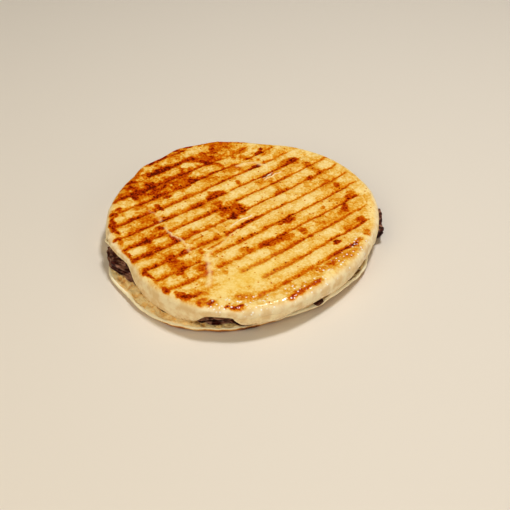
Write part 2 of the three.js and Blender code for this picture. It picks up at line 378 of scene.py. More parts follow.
class Shader(Tree):
    """A material whose nodes end in one Principled shader."""

    def __init__(self, name: str, constants: dict[str, object]) -> None:
        """Starts a material.

        Args:
            name: The material's name.
            constants: What is the same all over, set on the shader's own sockets.
        """
        self.material = bpy.data.materials.new(name)
        self.material.use_nodes = True
        self.material.node_tree.nodes.clear()
        super().__init__(self.material.node_tree)
        surface = self.node("ShaderNodeBsdfPrincipled", {}, constants)
        self.surface = surface.socket.node
        self.node("ShaderNodeOutputMaterial", {}, {"Surface": surface})
        self.place = self.node("ShaderNodeTexCoord", {}, {}, "Object")

    def value(self, name: str) -> Wire:
        """A number that the mesh holds at every point."""
        return self.node("ShaderNodeAttribute", {"attribute_name": name}, {}, "Fac")

    def noise(self, size: float, detail: float = 2.0, roughness: float = 0.5) -> Wire:
        """Noise between 0 and 1 whose patches are about a size in millimetres."""
        inputs = {"Vector": self.place, "Scale": 1.0 / (size * MM), "Detail": detail, "Roughness": roughness}
        return self.node("ShaderNodeTexNoise", {}, inputs, "Fac")

    def cells(self, size: float) -> Wire:
        """The distance to the nearest of many scattered points, in their own spacing."""
        inputs = {"Vector": self.place, "Scale": 1.0 / (size * MM)}
        return self.node("ShaderNodeTexVoronoi", {}, inputs, "Distance")

    def ramp(self, value: Wire, stops: Sequence[tuple[float, "Colour"]]) -> Wire:
        """A colour that follows a number."""
        return self.node("ShaderNodeValToRGB", {"stops": stops}, {"Fac": value}, "Color")

    def blend(self, base: "Wire | Colour", over: "Wire | Colour", share: Wire) -> Wire:
        """One colour laid over another by a share."""
        colours = [part if isinstance(part, Wire) else part.linear() for part in (base, over)]
        inputs = {"Factor_Float": share, "A_Color": colours[0], "B_Color": colours[1]}
        return self.node("ShaderNodeMix", {"data_type": "RGBA"}, inputs, "Result_Color")

    def bump(self, height: Wire, depth: float, strength: float) -> Wire:
        """Fine relief of a depth in millimetres."""
        inputs = {"Height": height, "Distance": depth * MM, "Strength": strength}
        return self.node("ShaderNodeBump", {}, inputs, "Normal")

    def finish(self, **wires: Wire) -> bpy.types.Material:
        """Links what changes over the surface to the shader, by socket name with _ for a space."""
        for name, wire in wires.items():
            self.tree.links.new(wire.socket, self.surface.inputs[name.replace("_", " ")])
        return self.material


@dataclass(frozen=True)
class Colour:
    """A colour as it looks on a screen, each part from 0 to 255."""

    red: float
    green: float
    blue: float

    def linear(self) -> tuple[float, float, float, float]:
        """The same colour as light, which is what shaders work with."""
        parts = [part / 255.0 for part in (self.red, self.green, self.blue)]
        light = [p / 12.92 if p <= 0.04045 else ((p + 0.055) / 1.055) ** 2.4 for p in parts]
        return (*light, 1.0)


# ---- Grill marks and toasting ----


@dataclass(frozen=True)
class Bar:
    """One stretch of a grill mark: its row, where it runs along the marks, and how dark it is."""

    row: int
    start: float
    end: float
    heat: float
    width: float = 1.0


@dataclass(frozen=True)
class Patch:
    """A browned or pale patch, placed along and across the marks, with its half length and half width."""

    along: float
    across: float
    length: float
    width: float
    heat: float
    tilt: float = 0.0
    soft: float = 0.55


def patches(*rows: tuple[float, ...]) -> tuple[Patch, ...]:
    """Patches, from their fields in order."""
    return tuple(Patch(*row) for row in rows)


@dataclass(frozen=True)
class Fold:
    """A wrinkle of the skin that follows a few points along and across the marks."""

    points: tuple[tuple[float, float], ...]
    height: float
    width: float
    pale: float = 0.0
    waver: float = 0.9
    wavers: tuple[Noise, Noise] = (Noise(17, 3.5, 2), Noise(18, 3.5, 2))

    def distance(self, along: Array, across: Array) -> Array:
        """How far places lie from the wrinkle's line, which wavers."""
        shifts = [self.waver * noise.at(along, across) for noise in self.wavers]
        along, across = along + shifts[0], across + shifts[1]
        nearest = np.full(along.shape, np.inf)
        for (u0, v0), (u1, v1) in zip(self.points, self.points[1:]):
            run = np.array([u1 - u0, v1 - v0])
            share = ((along - u0) * run[0] + (across - v0) * run[1]) / (run @ run)
            share = np.clip(share, 0.0, 1.0)
            gap = np.hypot(along - u0 - share * run[0], across - v0 - share * run[1])
            nearest = np.minimum(nearest, gap)
        return nearest


BAR_ROWS = {
    # Each row's stretches: where they start and end, how dark they are, and how wide past 1.
    7: ((-14, -8, 0.75), (-5, 3, 0.75), (6, 16, 0.8, 1.2), (26, 32, 0.85)),
    6: ((-34, -28, 0.66), (-19, -2, 0.92, 1.4), (-2, 9, 0.66), (9, 16, 0.66, 1.2), (29, 44, 0.24)),
    5: (
        (-50, -41, 0.84), (-40, -30, 0.88, 1.3), (-30, -15, 0.94, 1.6), (-15, -6, 0.78, 1.1),
        (-6, 10, 0.76, 1.2), (10, 22, 0.84, 1.2), (22, 30, 0.45), (36, 50, 0.34),
    ),
    4: (
        (-60, -49, 0.78), (-49, -43, 0.55), (-43, -18, 0.82), (-18, -4, 0.66), (-4, 3, 0.84, 1.2),
        (3, 22, 0.78, 1.1), (22, 33, 0.66), (38, 46, 0.66), (46, 53, 0.72), (53, 62, 0.48),
    ),
    3: (
        (-67, -42, 0.88), (-42, -30, 0.7), (-30, -12, 0.8), (-12, 3, 0.68), (3, 20, 0.7),
        (20, 33, 0.6, 0.9), (32, 43, 0.84), (44, 66, 0.42),
    ),
    2: (
        (-72, -60, 0.82), (-62, -28, 0.84), (-28, -8, 0.66), (-8, 8, 0.74), (10, 26, 0.58), (26, 50, 0.7),
        (50, 66, 0.6, 1.3),
    ),
    1: (
        (-75, -52, 0.8), (-52, -36, 0.74), (-36, -8, 0.78), (4, 30, 0.64), (30, 50, 0.6),
        (50, 80, 0.5, 0.9),
    ),
    0: ((-75, -50, 0.84), (-50, -28, 0.78), (-28, -10, 0.72), (5, 20, 0.66), (20, 40, 0.62), (40, 77, 0.54)),
    -1: (
        (-74, -60, 0.74), (-60, -46, 0.78), (-46, -22, 0.66), (-20, -4, 0.86), (-4, 10, 0.64),
        (10, 26, 0.52), (26, 48, 0.46), (48, 77, 0.52),
    ),
    -2: (
        (-75, -58, 0.66), (-58, -45, 0.6), (-38, -20, 0.54, 0.9), (-20, 8, 0.66), (8, 24, 0.72),
        (24, 45, 0.62), (45, 73, 0.54),
    ),
    -3: ((-74, -46, 0.66), (-42, -14, 0.6), (-14, 8, 0.74, 1.2), (8, 45, 0.6), (45, 64, 0.72, 1.2)),
    -4: (
        (-72, -60, 0.58), (-60, -50, 0.34), (-35, -12, 0.54), (-12, 22, 0.64), (22, 50, 0.62),
        (50, 60, 0.48),
    ),
    -5: ((-66, -60, 0.4), (-29, -5, 0.62), (-5, 7, 0.62), (7, 18, 0.44), (18, 30, 0.66), (28, 51, 0.7, 1.2)),
    -6: (
        (-58, -52, 0.7), (-48, -42, 0.34), (-42, -26, 0.56), (-26, -12, 0.6), (-12, 8, 0.46, 1.2),
        (8, 33, 0.74, 1.4),
    ),
    -7: ((-30, -6, 0.82),),
}

BARS = tuple(Bar(row, *stretch) for row, stretches in BAR_ROWS.items() for stretch in stretches)

SCORCHES = patches(
    # Far edge and the well-browned far left.
    (-23, 77.5, 1.8, 2.2, 0.8), (-9, 81, 3.4, 3.4, 0.92), (1, 80.5, 3, 1.8, 0.86),
    (11.5, 81, 4.2, 1.8, 0.9, -8), (20, 80, 3.2, 1.6, 0.86, -12), (30, 78.5, 3.4, 1.6, 0.82, -20),
    (40, 76, 4, 1.5, 0.8, -35), (46, 71, 4, 1.4, 0.8, -45), (52, 64, 6, 1.3, 0.66, -48),
    (62, 53, 8, 1.2, 0.62, -52), (72, 40, 6, 1.1, 0.6, -60), (-19, 78, 3, 3, 0.5),
    (36, 73, 8, 5, 0.36, -35, 1), (53, 49.5, 2, 1.4, 0.8), (38, 36.2, 4.2, 1.7, 0.9, -8, 0.5),
    (38.5, 23.9, 6, 1.9, 0.95, 4, 0.5), (60, 28, 3.6, 2, 0.62), (65, 19, 1.2, 1.2, 0.8),
    (-30, 70, 3, 2.5, 0.78), (-7, 69, 6.5, 2.8, 0.85), (13, 68, 3.5, 2.5, 0.6), (-43, 59, 3, 2, 0.8),
    (-38, 55, 2.2, 3, 0.72), (-24, 61, 4, 3, 0.76), (-22, 54, 5, 2.6, 0.5), (-33, 65, 6, 5, 0.42, 0, 1),
    (-36, 54, 5, 3.4, 0.44, 0, 0.9), (-20, 71, 3, 2.2, 0.66), (-23, 44, 4, 1.8, 0.82),
    (17, 59, 2.6, 3.4, 0.7, 20), (0, 57, 5, 3, 0.6), (22, 50, 2.2, 4, 0.62), (26, 43, 7, 4, 0.46, -15, 1),
    (-2, 48, 2.2, 3, 0.76), (9, 46, 5, 2, 0.62), (12, 41, 1.6, 1.6, 0.45), (42, 46, 2.2, 2, 0.62),
    (50, 47, 2.6, 2, 0.78), (44, 56, 4, 3, 0.48), (36, 66, 8, 6, 0.2, -30, 1.2), (-57, 48, 2.6, 3, 0.76),
    (-52, 51, 2.6, 1.6, 0.72),
    # Left edge, where the press charred the shoulder.
    (-61, 43, 1.6, 5.5, 0.8, -18), (-65, 36, 1.7, 7, 0.84, -10), (-69, 24, 2.4, 2.8, 0.62),
    (-73, 13, 1.6, 4, 0.74), (-74, 6, 1.4, 2.6, 0.6), (-74, -10, 1.6, 6.5, 0.78), (-74, -27, 1.9, 3.4, 0.8),
    (-71, -34, 1.9, 4, 0.76, 15), (-68, -38, 4, 2.2, 0.76, -20), (-66, -46, 3.2, 3, 0.6),
    (-63, -48.5, 3.6, 1.8, 0.72, -12), (-55, -59.5, 4.5, 1.3, 0.84, -22), (-58, -56, 1.5, 1.1, 0.86),
    # Left half of the face.
    (-57, 16, 2.4, 3.4, 0.72), (-57, 9, 3, 8, 0.42, 0, 1), (-45, 31, 6, 4.5, 0.44, 0, 1),
    (-33, 38, 2, 4, 0.7), (-44, 20.5, 1.8, 2.2, 0.82), (-44, 8, 1.5, 4.5, 0.72),
    (-57, -11, 4.5, 10, 0.6, 0, 0.9), (-61, -19.5, 4, 2.4, 0.76), (-47, -6, 3, 2.2, 0.66),
    (-48, -23, 5, 3.4, 0.62), (-40, -11, 2, 3, 0.5), (-66, -5.5, 0.8, 0.8, 0.95), (-2, -5.6, 7, 0.9, 0.86),
    (-33, -1, 6, 0.8, 0.45), (-30, -12, 8, 0.9, 0.5, 5), (-46, -56, 7, 3, 0.4, -35, 1),
    (-20, -8.5, 2, 2, 0.66), (-21, -25, 3, 2.5, 0.42), (-42, -34, 2, 2.2, 0.42), (-45, 21, 2.6, 3.4, 0.4),
    (-12, 23, 4, 3, 0.34), (31, 20, 6, 2.6, 0.36), (33, 9.5, 2, 3, 0.34),
    # The burnt patch beside the middle, with its wedge.
    (0, 27, 6.5, 2.4, 0.74), (0, 30, 2.4, 2.6, 0.7), (-3, 9, 8.5, 8, 0.72, 0, 0.6), (-5, 3, 5.5, 2.6, 0.84),
    (-6, 14, 3, 4, 0.6), (3, 3, 3, 1.4, 0.7), (-5, 19, 3, 3.4, 0.56), (-15, 26, 4, 2, 0.45),
    (18, 29, 1.9, 3, 0.68),
    # Right half of the face.
    (33, 16, 2, 3.4, 0.48), (55, 28, 5, 3, 0.42), (60, 25, 5, 3, 0.48), (64, 12, 2.8, 10, 0.46, 0, 1),
    (32, 5, 6, 2.2, 0.5), (56, 4, 4, 2.6, 0.7), (15, -19.8, 5.6, 3.2, 0.8, 6, 0.5),
    (62.5, -10.5, 2.2, 2.2, 0.66), (39.5, -23.5, 1.6, 1.6, 0.5), (60, -8, 6, 8, 0.38, 0, 1.1),
    (57, -24.5, 3, 2.2, 0.6), (50.5, -30, 3.6, 3.2, 0.74, 25, 0.5), (46, -34, 6, 2.6, 0.34, 0, 1),
    (63, -22, 4, 2, 0.5), (39, -23, 2, 1.6, 0.45), (15, -33, 2.2, 4.6, 0.62, -20, 0.5),
    (15.5, -39, 2.2, 2, 0.84, 0, 0.5), (27, -31, 1.2, 1.8, 0.42), (30, -34, 3, 2, 0.34, 0, 1),
    (38, -46, 5, 4, 0.34, 0, 1), (48, -45.5, 3, 3, 0.56), (22.5, -53, 3, 2.1, 0.8),
    (43, -56, 2.8, 2.8, 0.46), (-3, -31, 6, 2.6, 0.58), (4, -32, 5, 2, 0.5), (8, -64, 4, 2, 0.52),
    (27, -60.5, 5, 1.6, 0.72), (35, -58.5, 2.4, 2, 0.4), (3, -50, 2.4, 1, 0.7),
)

ZONES = patches(
    # Where the press browned the face broadly, in an uneven net between the marks.
    (-6, 66, 60, 22, 0.42, -4, 0.9), (32, 54, 30, 22, 0.1, -20, 1), (-58, 0, 26, 56, 0.2, 0, 1.2),
    (-26, 26, 30, 30, 0.14, 0, 1.2), (58, 8, 22, 34, 0.08, 0, 1), (46, -34, 20, 16, 0.09, 0, 1),
    (0, -30, 30, 14, 0.07, 0, 1.2), (0, -64, 24, 5, 0.2, 0, 1), (54, 44, 8, 8, 0.2, 0, 1),
)

PALE_PATCHES = patches(
    # Pale islands, highest on the loaf's blisters, that the press barely touched.
    (-28, 65, 3, 2, 0.4), (-4, 62, 4.5, 3, 0.7), (6, 63, 4, 3, 0.9), (0, 74, 7, 3.4, 0.6),
    (17, 72, 8, 3.4, 0.8), (26, 71, 4, 3, 0.7), (-50, 54, 5, 3, 0.7), (-39, 65, 2.6, 3, 0.5),
    (3, 52, 4, 2.2, 0.6), (14, 52, 4, 2.6, 0.7), (28, 52, 6, 3, 0.7), (44, 52, 4, 2.8, 0.7),
    (34, 62, 3.4, 3.4, 0.5), (44, 61, 5, 3.4, 0.7), (-57, 42, 3, 3, 0.8), (-50, 43, 4, 3, 0.8),
    (-42, 42, 3, 3, 0.8), (-35, 42, 3, 2.6, 0.7), (-27, 41, 3.4, 2.4, 0.8), (-18, 41, 5, 3, 0.8),
    (-8, 41, 4, 2.8, 0.8), (1, 42, 3, 2.4, 0.6), (29, 42, 5, 2.6, 0.5), (50, 40, 5, 3.4, 0.8),
    (58, 41, 3.4, 3.6, 0.7), (-61, 32, 4.4, 3.6, 0.9), (-52, 32, 3, 3, 0.7), (-31, 32, 7, 3.4, 0.9),
    (-21, 31, 4, 2.8, 0.8), (-12, 31, 5, 2.8, 0.8), (10, 32, 7, 2.8, 0.8), (28, 31, 6, 3, 0.8),
    (48, 32, 4, 2.6, 0.6), (-66, 21, 4, 3, 0.8), (-30, 21, 6, 2.4, 0.6), (-14, 20, 4, 3, 0.8),
    (14, 21, 8, 3, 0.7), (-66, 11, 5.5, 3.2, 0.9), (-50, 11, 4, 3, 0.8), (-34, 12, 5, 2.4, 0.6),
    (-19, 12, 8, 2.8, 0.8), (14, 10, 8, 3, 0.8), (27, 10, 5, 3, 0.7), (45, 10, 10, 3, 0.7),
    (70, 9, 4, 3.4, 0.7), (-68, 0, 5, 2.8, 0.7), (-48, 0, 4, 2.6, 0.5), (-67, -11, 4.5, 3, 0.8),
    (-48, -11, 5, 2.4, 0.7), (-62, -32, 7, 2.8, 0.8), (-30, -33, 12, 3, 0.6), (12, -10, 14, 2.8, 0.7),
    (40, -10, 9, 2.8, 0.7), (-12, -22, 8, 2.6, 0.7), (32, -21, 8, 2.6, 0.7), (-20, -44, 12, 2.8, 0.7),
    (4, -43, 9, 3, 0.8), (24, -42, 6, 2.6, 0.7), (-8, -54, 10, 2.8, 0.8), (38, -56, 3, 3, 0.5),
    (-42, -42, 20, 9, 0.6),
)

# The last number of each fold is how pale it is; from about 0.62 up the crust finish also paints a highlight
# along it.
FOLDS = (
    Fold(((-38.5, 39), (-38.5, 32), (-40, 26)), 0.20, 0.5, 0.35),
    Fold(((-42, 19), (-43, 12), (-42, 5), (-42, -1)), 0.40, 0.6, 0.75),
    Fold(((-42, -1), (-44.5, -5), (-45, -9)), 0.30, 0.6, 0.45),
    Fold(((-40, -16), (-43, -22), (-47, -28), (-51, -33), (-55, -37)), 0.45, 1.4, 0.62),
    Fold(((29, 43.5), (36, 42), (41, 39.5), (43.5, 35), (42.5, 31)), 0.35, 0.7, 0.7),
    Fold(((-13, -3.6), (-6, -3.0), (3, -3.4)), 0.45, 0.7, 0.9),
    Fold(((-40, -16), (-33, -14.5), (-24, -12.5), (-12, -8)), 0.40, 0.7, 0.35),
    Fold(((33, 20.6), (38, 21.2), (46, 21.6)), 0.35, 0.5, 0.85),
    Fold(((34, 23.2), (39, 23.0), (43, 24.0)), 0.2, 0.35, 0.8),
)


@dataclass(frozen=True)
class GrillMarks:
    """Where a press's bars touched the face, and how dark each place of it got."""

    azimuth: float = 40.0
    pitch: float = 10.7
    offset: float = 3.87
    bow: float = 0.78
    fan: float = 0.22
    span: float = 50.0
    core: float = 1.74
    fine_core: float = 0.92
    core_power: float = 2.6
    core_patchy: float = 0.25
    core_ragged: float = 0.22
    fine_from: float = -14.0
    fine_over: float = 34.0
    halo: float = 3.2
    halo_ragged: float = 0.5
    halo_share: float = 0.24
    fine_halo: float = 0.17
    heat_fine: float = 0.20
    heat_patchy: float = 0.20
    heat_ragged: float = 0.06
    most: float = 0.98
    end_soft: float = 3.4
    rest: float = 0.12
    palest: float = 0.02
    patch_edge: float = 0.9
    patch_ragged: float = 0.35
    wander_along: Noise = Noise(11, 5.0, 2)
    wander_across: Noise = Noise(12, 4.0, 2)
    across_share: float = 0.5
    patchy: Noise = Noise(13, 3.2, 3)
    ragged: Noise = Noise(15, 7.5, 3)
    net_wide: Noise = Noise(14, 6.5, 2)
    net_fine: Noise = Noise(16, 2.6, 2)
    net_squash: float = 0.7
    net_contrast: float = 0.48
    net_least: float = 0.15
    net_most: float = 1.35

    def on_marks(self, x: Array, y: Array) -> tuple[Array, Array]:
        """Turns places into distances along and across the marks."""
        angle = math.radians(self.azimuth)
        along = x * math.cos(angle) + y * math.sin(angle)
        return along, y * math.cos(angle) - x * math.sin(angle)

    def off_row(self, row: Array, along: Array, across: Array) -> Array:
        """How far places lie from the middle of a row's mark, which bows a little."""
        share = along / self.span
        middle = self.offset + self.pitch * row + self.bow * share**2 - self.fan * row * share
        return across - middle

    def groove(self, along: Array, across: Array, floor: float, width: float) -> Array:
        """The pressed section of the marks: 1 on a groove's floor, 0 on the bread between two."""
        row = np.round((across - self.offset - self.bow * (along / self.span) ** 2) / self.pitch)
        off = np.abs(self.off_row(row, along, across))
        return 1.0 - smooth((off - floor / 2) / ((width - floor) / 2))

    def toast(self, x: Array, y: Array, bars: Sequence[Bar], scorches: Sequence[Patch]) -> Array:
        """How toasted the face is, from 0 for pale to 1 for burnt.

        Args:
            x: Places along X.
            y: Places along Y.
            bars: The stretches of the marks.
            scorches: The browned patches.

        Returns:
            One value for each place.
        """
        along, across = self.on_marks(x, y)
        along = along + self.wander_along.at(x, y)
        across = across + self.across_share * self.wander_across.at(x, y)
        patchy, ragged = self.patchy.at(x, y), self.ragged.at(x, y)
        net = self.net_wide.at(along * self.net_squash, across) + self.net_fine.at(x, y)
        net = smooth(0.5 + self.net_contrast * net)
        zone = np.zeros(x.shape)
        for patch in ZONES:
            zone = 1.0 - (1.0 - zone) * (1.0 - patch.heat * self._inside(patch, along, across, ragged))
        left = 1.0 - (self.rest + zone) * mix(self.net_least, self.net_most, net)
        for patch in PALE_PATCHES:
            share = patch.heat * self._inside(patch, along, across, patchy)
            left = mix(left, 1.0 - self.palest, share)
        fine = smooth((along - self.fine_from) / self.fine_over)
        reach = mix(self.core, self.fine_core, fine)
        reach = reach * (1.0 + self.core_patchy * patchy + self.core_ragged * ragged)
        halo_reach = self.halo * (1.0 + self.halo_ragged * ragged)
        halo_share = mix(self.halo_share, self.fine_halo, fine)
        uneven = 1.0 + self.heat_fine * fine + self.heat_patchy * patchy + self.heat_ragged * ragged
        for bar in bars:
            off = self.off_row(bar.row, along, across) / bar.width
            starts = smooth((along - bar.start) / self.end_soft + 0.5)
            ends = smooth((bar.end - along) / self.end_soft + 0.5)
            core = np.exp(-np.abs(off / reach) ** self.core_power)
            mark = np.maximum(core, halo_share * bell(off, halo_reach))
            left *= 1.0 - np.clip(bar.heat * uneven * starts * ends * mark, 0.0, self.most)
        for patch in scorches:
            heat = patch.heat * (1.0 + self.heat_patchy * patchy)
            left *= 1.0 - np.clip(heat * self._inside(patch, along, across, patchy), 0.0, self.most)
        return 1.0 - left

    def _inside(self, patch: Patch, along: Array, across: Array, uneven: Array) -> Array:
        """1 in the middle of a patch, falling unevenly to 0 round it."""
        angle = math.radians(patch.tilt)
        du, dv = along - patch.along, across - patch.across
        far_along = (du * math.cos(angle) + dv * math.sin(angle)) / patch.length
        far_across = (dv * math.cos(angle) - du * math.sin(angle)) / patch.width
        reach = np.hypot(far_along, far_across) - self.patch_ragged * uneven
        return 1.0 - smooth((reach - self.patch_edge) / patch.soft + 0.5)


# ---- Breads ----


@dataclass(frozen=True)
class Swell:
    """One long low wave of a face: its height, length, direction and phase."""

    height: float
    length: float
    towards: float
    phase: float

    def at(self, x: Array, y: Array) -> Array:
        """How high the wave stands at some places."""
        angle = math.radians(self.towards)
        run = (x * math.cos(angle) + y * math.sin(angle)) / self.length
        return self.height * np.sin(np.radians(run * 360.0 + self.phase))


@dataclass(frozen=True)
class UpperBread:
    """The thick bread on top: its pressed face, soft shoulder, puffy side and arched lower edge."""

    name: str = "bread_upper_toasted"
    node: str = "bread_upper"
    outline: Outline = Outline(
        81.3,
        (
            Lobe(1, 2.7, 120), Lobe(2, 3.1, 162), Lobe(3, 2.2, 52), Lobe(4, 0.8, 359), Lobe(5, 0.8, 243),
            Lobe(6, 0.4, 8),
        ),
        (
            Bump(212, 15, -2.6), Bump(262, 9, -0.8), Bump(190.5, 3.5, -1.2), Bump(347, 25, -2.6),
            Bump(83, 14, -1.6), Bump(127, 14, -1.6), Bump(7, 15, -1.2),
        ),
        Stretch(96, 150, 8, 0.7),
    )
    marks: GrillMarks = GrillMarks()
    face_height: float = 18.8
    highest: float = 19.3
    highest_soft: float = 0.4
    swells: tuple[Swell, ...] = (Swell(0.18, 92, 40, 34), Swell(0.18, 92, -40, 34), Swell(0.18, 49, 45, 0))
    shoulder_inset: float = 5.0
    shoulder_share: float = 0.48
    corner_inset: float = 2.8
    corner_share: float = 0.3
    edge_level: float = 7.2
    underside: float = 8.8
    underside_blend: float = 13.0
    arches: tuple[Stretch, ...] = (
        Stretch(190, 216, 8, 5.6), Stretch(254.5, 267.5, 6, 5.0), Stretch(286, 306, 8, 1.2),
        Stretch(228, 250, 9, -1.7), Stretch(354, 386, 9, 2.0), Stretch(34, 176, 8, 0.8),
        Stretch(324, 337, 7, 1.8),
    )
    groove_floor: float = 1.1
    groove_width: float = 3.6
    groove_depth: float = 0.5
    groove_fade: float = 5.0
    missed: Patch = Patch(-47, -45, 20, 11, 1.0)
    missed_edge: float = 0.8
    missed_soft: float = 0.4
    moat_share: float = 0.35
    moat_reach: float = 2.0
    blisters: Noise = Noise(21, 4.5, 2)
    blister_height: float = 0.10
    pimples: Noise = Noise(22, 1.7)
    pimple_height: float = 0.06
    oiled: Stretch = Stretch(258, 346, 22)
    oil_reach: float = 7.0
    oil_soft: float = 8.0
    oil_patches: Noise = Noise(41, 5.0, 2)
    oil_least: float = 0.7
    oil_patchy: float = 0.6
    beads: Noise = Noise(33, 2.1, 2)
    bead_height: float = 0.15
    bead_reach: float = 8.0
    bead_soft: float = 6.0
    yellow: Patch = Patch(-36, -45, 22, 9, 1.0)
    spongy_height: float = 5.0
    toast_from: float = 0.25
    toast_over: float = 0.5
    crease: Stretch = Stretch(262, 284, 10, 0.9)
    crease_height: float = 12.2
    crease_width: float = 0.9
    puffs: Noise = Noise(31, 9.0, 2)
    puff_depth: float = 0.5
    puff_squash: float = 2.4
    dents: Noise = Noise(32, 2.4, 2)
    dent_depth: float = 0.22
    grid: int = 256
    shoulder_steps: int = 9
    wall_steps: int = 9
    corner_steps: int = 6

    def edge_height(self, azimuth: Array) -> Array:
        """The height of the lower edge, which stands higher along the arches."""
        return self.edge_level + sum(arch.rise * arch.at(azimuth) for arch in self.arches)

    def arch_rise(self, azimuth: Array) -> Array:
        """How far the lower edge stands above its usual level."""
        return np.maximum(0.0, self.edge_height(azimuth) - self.edge_level)

    def underside_height(self, azimuth: Array, radius: Array) -> Array:
        """The height of the lower side, straight from the corner in to a level middle."""
        inside = self.outline.at(azimuth) - self.corner_inset - radius
        share = np.clip(inside / self.underside_blend, 0.0, 1.0)
        return mix(self.edge_height(azimuth), self.underside, share)

    def face_relief(self, x: Array, y: Array) -> Array:
        """The height of the pressed face, with its grooves, wrinkles and blisters."""
        azimuth = azimuth_of(x, y)
        inside = self.outline.at(azimuth) - np.hypot(x, y)
        fade = smooth((inside - self.shoulder_inset) / self.groove_fade)
        height = self.face_height + sum(swell.at(x, y) for swell in self.swells)
        along, across = self.marks.on_marks(x, y)
        pressed = self.marks.groove(along, across, self.groove_floor, self.groove_width)
        beside = (along - self.missed.along) / self.missed.length
        missed = np.hypot(beside, (across - self.missed.across) / self.missed.width)
        height -= self.groove_depth * pressed * fade * smooth((missed - self.missed_edge) / self.missed_soft)
        for fold in FOLDS:
            gap = fold.distance(along, across)
            moat = bell(gap - self.moat_reach * fold.width, fold.width)
            height += fold.height * fade * (bell(gap, fold.width) - self.moat_share * moat)
        height += self.blister_height * self.blisters.at(x, y) + self.pimple_height * self.pimples.at(x, y)
        height += self.bead_relief(azimuth, inside, x, y)
        over = np.maximum(0.0, height - self.highest + self.highest_soft)
        return height - over + self.highest_soft * np.tanh(over / self.highest_soft)

    def bead_relief(self, azimuth: Array, inside: Array, x: Array, y: Array) -> Array:
        """The small beads that the oiled rim is covered in, which glint."""
        share = self.oiled.at(azimuth) * (1.0 - smooth((inside - self.bead_reach) / self.bead_soft))
        return self.bead_height * share * self.beads.at(x, y)

    def build(self) -> bpy.types.Object:
        """Builds the bread as one closed mesh.

        Returns:
            The piece, with the values that its finish reads.
        """
        shell = Shell.empty()
        share, azimuth = self._disc()
        x, y = polar(share * (self.outline.at(azimuth) - self.shoulder_inset), azimuth)
        numbers = shell.add(x, y, self.face_relief(x, y))
        shell.quads(numbers[:-1, :-1], numbers[1:, :-1], numbers[1:, 1:], numbers[:-1, 1:])
        edge = self._edge_of(numbers)
        side = [np.zeros(numbers.size)]
        rim_azimuth = azimuth.ravel()[edge]
        rings = [edge]
        for ring, amount in self._wall(shell, rim_azimuth):
            rings.append(ring)
            side.append(np.full(ring.size, amount))
        shell.bands(rings)
        shell.cap(rings[-1], self.underside, up=False)
        side.append(np.ones(1))
        return self._dress(shell, np.concatenate(side))

    def _disc(self) -> tuple[Array, Array]:
        """A square grid laid evenly on a disc, along the marks: shares of the radius, and azimuths."""
        steps = np.linspace(-1.0, 1.0, self.grid + 1)
        a, b = np.meshgrid(steps, steps, indexing="ij")
        wide = np.abs(a) >= np.abs(b)
        safe_a = np.where(a == 0.0, 1.0, a)
        safe_b = np.where(b == 0.0, 1.0, b)
        bend = np.where(wide, 45.0 * b / safe_a, 90.0 - 45.0 * a / safe_b)
        share = np.where(wide, a, b)
        bend = np.where(share < 0.0, bend + 180.0, bend)
        return np.abs(share), (bend + self.marks.azimuth) % 360.0

    @staticmethod
    def _edge_of(numbers: Array) -> Array:
        """The numbers of the grid's edge points, anticlockwise."""
        sides = numbers[-1, :-1], numbers[::-1, -1][:-1], numbers[0, ::-1][:-1], numbers[:-1, 0]
        return np.concatenate(sides)

    def _wall(self, shell: Shell, azimuth: Array) -> list[tuple[Array, float]]:
        """Adds the rings of the shoulder, the side, the corner and the lower side.

        Args:
            shell: The bread's shell.
            azimuth: The azimuths of the rim's points.

        Returns:
            Each ring, with how much of it is side rather than face.
        """
        radius = self.outline.at(azimuth)
        rings = []
        for inset, height, side in self._sections(azimuth, radius):
            place = radius - inset
            x, y = polar(place, azimuth)
            puff = 0.5 + 0.5 * self.puffs.at(x, y, height * self.puff_squash)
            dent = 0.5 + 0.5 * self.dents.at(x, y, height)
            height = height + (1.0 - side) * self.bead_relief(azimuth, inset, x, y)
            fold = self.crease.rise * self.crease.at(azimuth)
            fold = fold * bell(height - self.crease_height, self.crease_width)
            uneven = side * (self.puff_depth * puff + self.dent_depth * dent + fold)
            rings.append((shell.ring(azimuth, place - uneven, height), side))
        flat = radius - self.corner_inset - self.underside_blend
        rings.append((shell.ring(azimuth, flat, self.underside_height(azimuth, flat)), 1.0))
        return rings

    def _sections(self, azimuth: Array, radius: Array) -> list[tuple[Array, Array, float]]:
        """The rings from the shoulder down to the corner: inset, height, and how much is side."""
        top = self.face_relief(*polar(radius - self.shoulder_inset, azimuth))
        low = self.edge_height(azimuth)
        wall = top - low
        sections = []
        for step in range(1, self.shoulder_steps + 1):
            share = step / self.shoulder_steps
            bend = math.pi / 2 * share
            inset = self.shoulder_inset * (1.0 - math.sin(bend))
            height = top - self.shoulder_share * (1.0 - math.cos(bend)) * wall
            sections.append((inset, height, share))
        upright = 1.0 - self.shoulder_share - self.corner_share
        for step in range(1, self.wall_steps):
            height = low + (self.corner_share + upright * (1.0 - step / self.wall_steps)) * wall
            sections.append((0.0, height, 1.0))
        for step in range(self.corner_steps + 1):
            bend = math.pi / 2 * step / self.corner_steps
            inset = self.corner_inset * (1.0 - math.cos(bend))
            height = low + self.corner_share * (1.0 - math.sin(bend)) * wall
            sections.append((inset, height, 1.0))
        return sections

